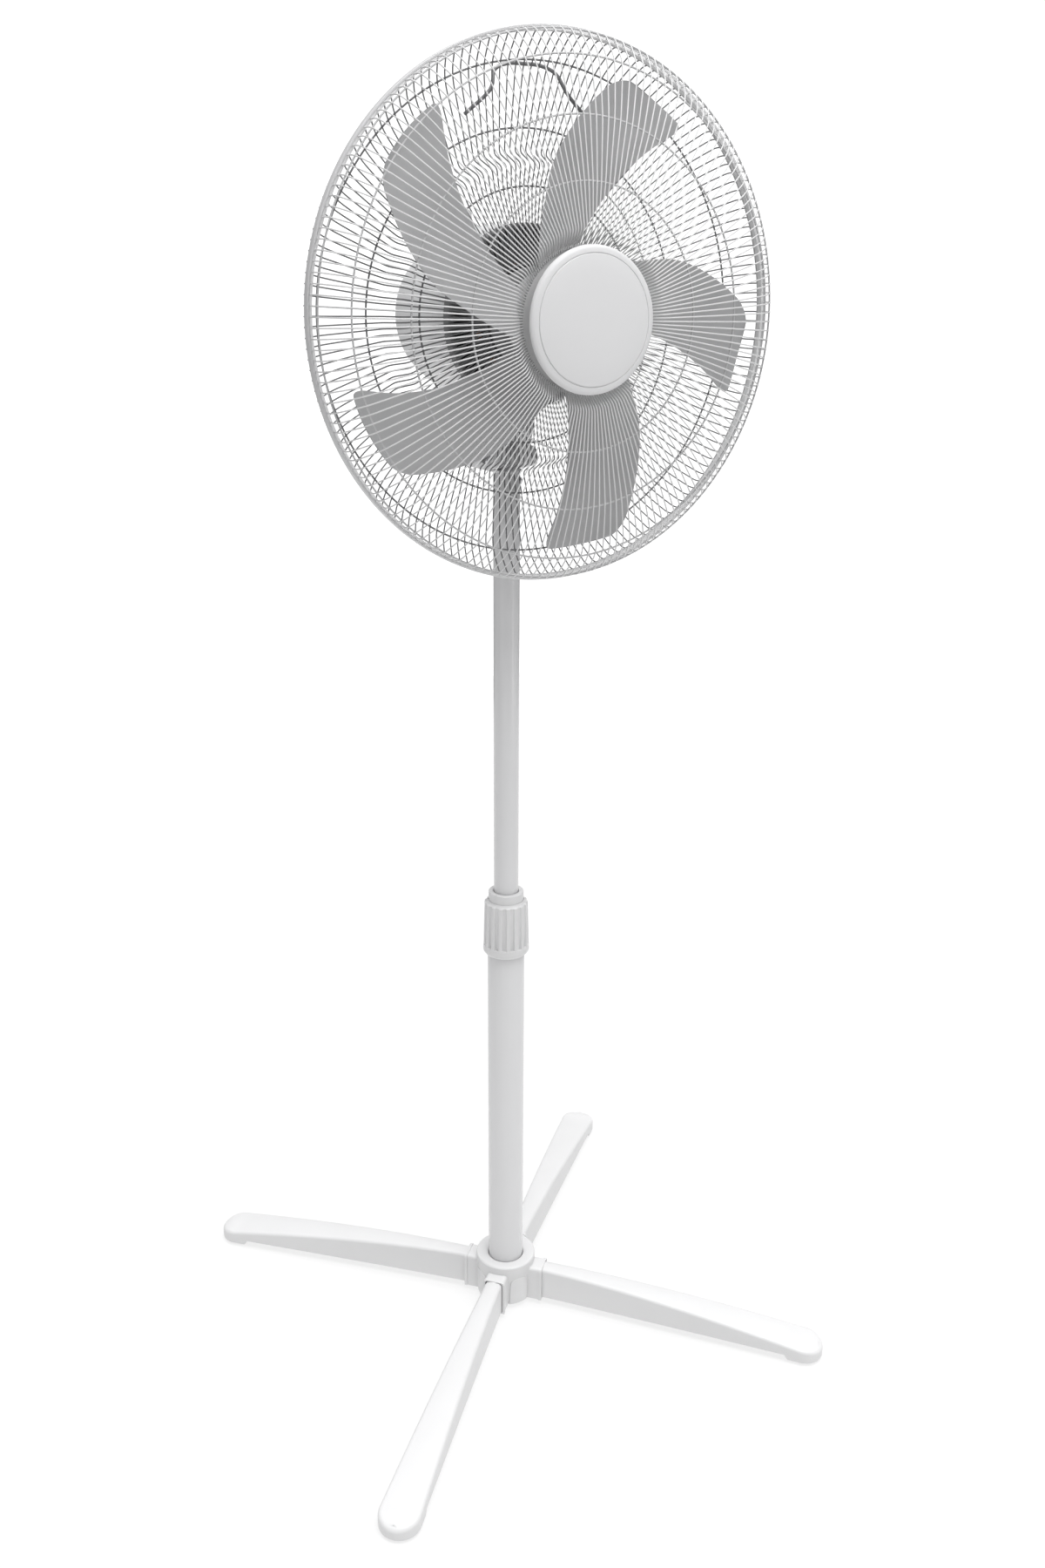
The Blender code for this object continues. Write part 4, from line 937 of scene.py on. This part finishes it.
def rounded_path(points, steps):
    """Catmull-Rom line through points."""
    ends = [points[0] * 2 - points[1]] + points + [points[-1] * 2 - points[-2]]
    path = []
    for a, b, c, d in zip(ends, ends[1:], ends[2:], ends[3:]):
        for i in range(steps):
            t = i / steps
            path.append(0.5 * (2 * b + (c - a) * t + (2 * a - 5 * b + 4 * c - d) * t * t
                               + (3 * b - a - 3 * c + d) * t ** 3))
    path.append(points[-1])
    return path


def sweep(path, radius, bm, sides=10):
    """Round tube along a path."""
    circle = arc((0.0, 0.0), 1.0, 0.0, TAU, sides)[:-1]
    rows = []
    normal = Vector((0, 1, 0))
    for i, spot in enumerate(path):
        along = (path[min(i + 1, len(path) - 1)] - path[max(i - 1, 0)]).normalized()
        normal = (normal - along * normal.dot(along)).normalized()
        side = along.cross(normal)
        rows.append([bm.verts.new(spot + (normal * out + side * across) * radius)
                     for out, across in circle])
    for near, far in zip(rows, rows[1:]):
        skin(bm, near, far)
    bm.faces.new(rows[0])
    bm.faces.new(rows[-1])


def make_band():
    """Rim band that clips over both guards, with a lighter grey ring over its inner face that paints light
    on that face.
    """
    low, high = BAND_Y - BAND_HALF, BAND_Y + BAND_HALF
    inner, middle = BAND_R - 0.0046, BAND_R - 0.0022
    lit_ring_r, lit_ring_low, lit_ring_high = middle - GAP / 3, low + 0.0001, high - 0.0018
    band = lathe(eased([(BAND_R - 0.0003, low, 0.0004), (BAND_R, low + 0.0012, 0.0004),
                        (BAND_R, high - 0.0012, 0.0004), (BAND_R - 0.0003, high, 0.0004),
                        (inner, high, 0.0004), (inner, high - 0.0009, 0.0002), (middle, high - 0.0012),
                        (middle, low, 0.0004)]), fan_axis(), 240)
    # lighter ring over the band's inner face: painted light
    lit_ring = lathe(eased([(lit_ring_r, lit_ring_low, 0.0002), (lit_ring_r, lit_ring_high, 0.0002),
                         (inner, lit_ring_high, 0.0004), (inner, lit_ring_low, 0.0004)]), fan_axis(), 240)
    piece("band_face_painted_light_ring", lit_ring, BAND_FACE_LIGHT, "head", (), crease=30)
    piece("rim_band", band, BAND, "head", ["guard_band"], crease=40)


def make_cap():
    """Plain crowned cap with one turned groove near its edge."""
    groove, half = 0.0524, 0.0003
    cap = lathe(eased([(0, CAP_FACE - 0.0020), (0.0180, CAP_FACE - 0.00185, 0.006),
                       (0.0360, CAP_FACE - 0.0014, 0.006), (groove - 2 * half, CAP_FACE - 0.0004, 0.0002),
                       (groove - half, CAP_FACE + 0.0006), (groove + half, CAP_FACE + 0.0006),
                       (groove + 2 * half, CAP_FACE, 0.0002), (0.0566, CAP_FACE + 0.0006, 0.0012),
                       (CAP_R - 0.0003, CAP_FACE + 0.0022, 0.0014), (CAP_R, CAP_BACK, 0.0004),
                       (CAP_R - 0.0022, CAP_BACK), (CAP_R - 0.0035, CAP_FACE + 0.0040),
                       (0, CAP_FACE + 0.0015)], steps=4), fan_axis(), 144)
    piece("centre_cap", cap, CAP, "head", ["front_cap"], crease=30)


# ------------------------------------------------------------------ impeller
# The two edges of a blade, as (radius, degrees round the axis), from inside the hub to the tip.
START_R = 0.036
LEAD = [(START_R, 71.0), (0.060, 68.5), (0.090, 65.5), (0.120, 62.0), (0.165, 55.8), (0.180, 53.4),
        (0.190, 52.2), (TIP_R, 52.2)]
TRAIL = [(START_R, 136.0), (0.060, 117.5), (0.090, 103.8), (0.120, 96.0), (0.165, 82.8),
         (0.180, 78.6), (0.190, 75.9), (TIP_R, 74.0)]
ROOT_R = 0.0385                                # where a blade's mesh starts, inside the hub's wall
LEAD_CORNER, TRAIL_CORNER = 0.0035, 0.0120     # radii of the two corners of a blade's tip


def corner_inset(radius, corner):
    """How far a rounded tip corner has drawn its edge in."""
    past = max(0.0, radius - (TIP_R - corner))
    return corner - math.sqrt(max(0.0, corner * corner - past * past))


def blade_point(radius, share, turn, side):
    """Point on one face of a blade; share runs from the leading to the trailing edge."""
    start, end = curve_through(LEAD, radius), curve_through(TRAIL, radius)
    start += math.degrees(corner_inset(radius, LEAD_CORNER) / radius)
    end -= math.degrees(corner_inset(radius, TRAIL_CORNER) / radius)
    angle = math.radians(start + (end - start) * share) + turn
    span = (radius - START_R) / (TIP_R - START_R)
    trail_y = -0.1130 + 0.0170 * span ** 0.6        # the two edges draw level towards the tip
    lead_y = -0.0800 - 0.0085 * span
    arch = math.sin(math.pi * share)
    thin_edge = 0.40 + 0.60 * min(1.0, arch * 2.2)
    root_fillet = 1.0 + 1.2 * math.exp(-(radius - ROOT_R) / 0.007)
    y = lead_y + (trail_y - lead_y) * share + 0.0034 * arch
    y += side * BLADE_T * thin_edge * root_fillet / 2
    return Vector((radius * math.cos(angle), y, AXIS_Z + radius * math.sin(angle)))


def make_impeller():
    """Hub cup and five swept blades in one moulding."""
    back, front = BLADE_HUB_BACK, BLADE_HUB_FRONT
    boss_r, cup_r, bore = 0.0140, BLADE_HUB_R - 0.0024, SHAFT_R + GAP
    bm = lathe(eased([(bore, back), (boss_r, back, 0.0006), (boss_r, back - 0.0040),
                      (cup_r, back - 0.0060), (cup_r, back, 0.0004), (BLADE_HUB_R, back, 0.0006),
                      (BLADE_HUB_R, front + 0.0010, 0.0050), (0.0300, front, 0.004), (bore, front)],
                     steps=5), fan_axis(), 96)
    chord, steps = 15, 18
    bend = TIP_R - TRAIL_CORNER
    radii = [ROOT_R + (bend - ROOT_R) * i / steps for i in range(steps + 1)]
    radii += [bend + TRAIL_CORNER * math.sin(math.pi / 2 * i / steps) for i in range(1, steps + 1)]
    shares = [(1 - math.cos(math.pi * i / (chord - 1))) / 2 for i in range(chord)]
    for blade in range(BLADES):
        turn = TAU * blade / BLADES
        rows = []
        for radius in radii:
            front = [bm.verts.new(blade_point(radius, s, turn, -1)) for s in shares]
            back = [bm.verts.new(blade_point(radius, s, turn, 1)) for s in shares]
            rows.append(front + back[::-1])
        for near, far in zip(rows, rows[1:]):
            skin(bm, near, far)
        bm.faces.new(rows[0])
        bm.faces.new(rows[-1])
    piece("five_blade_impeller", bm, BLADE, "rotor", ["fan_blade"], crease=40)


def make_nuts():
    """Ribbed nut that holds the rear guard, and the spinner that holds the blades."""
    outline = [  # (radius, y, share of the ribs' depth)
        (NUT_BORE, NUT_BACK, 0), (0.0424, NUT_BACK, 0), (0.0430, NUT_BACK - 0.0006, 1),
        (0.0430, NUT_FRONT + 0.0046, 1), (0.0420, NUT_FRONT + 0.0036, 0.6),
        (0.0310, NUT_FRONT + 0.0004, 0), (0.0300, NUT_FRONT, 0), (NUT_BORE + 0.0006, NUT_FRONT, 0),
        (NUT_BORE, NUT_FRONT + 0.0006, 0),
    ]
    nut = lathe(outline, fan_axis(), 144, cut=waves(24, 0.0012))
    piece("guard_lock_nut", nut, DARK, "head", ["guard_nut"], crease=40)
    back, bore = BLADE_HUB_FRONT - 0.0004, SHAFT_R + GAP
    spinner = lathe(eased([(bore, back), (0.0150, back, 0.0006), (0.0150, -0.1260, 0.0012),
                           (0.0120, -0.1340, 0.003), (0.0060, -0.1372, 0.002), (0, -0.1372), (0, -0.1335),
                           (bore, -0.1335)], steps=4), fan_axis(), 48)
    piece("spinner_nut", spinner, DARK, "rotor", ["blade_nut"])


make_studio()
refinish_cad_nodes()
make_base()
make_mast()
make_neck()
make_tilt_bracket()
make_tilt_knob()
make_bell()
make_vented_cover()
make_front_guard()
make_rear_guard()
make_band()
make_cap()
make_impeller()
make_nuts()
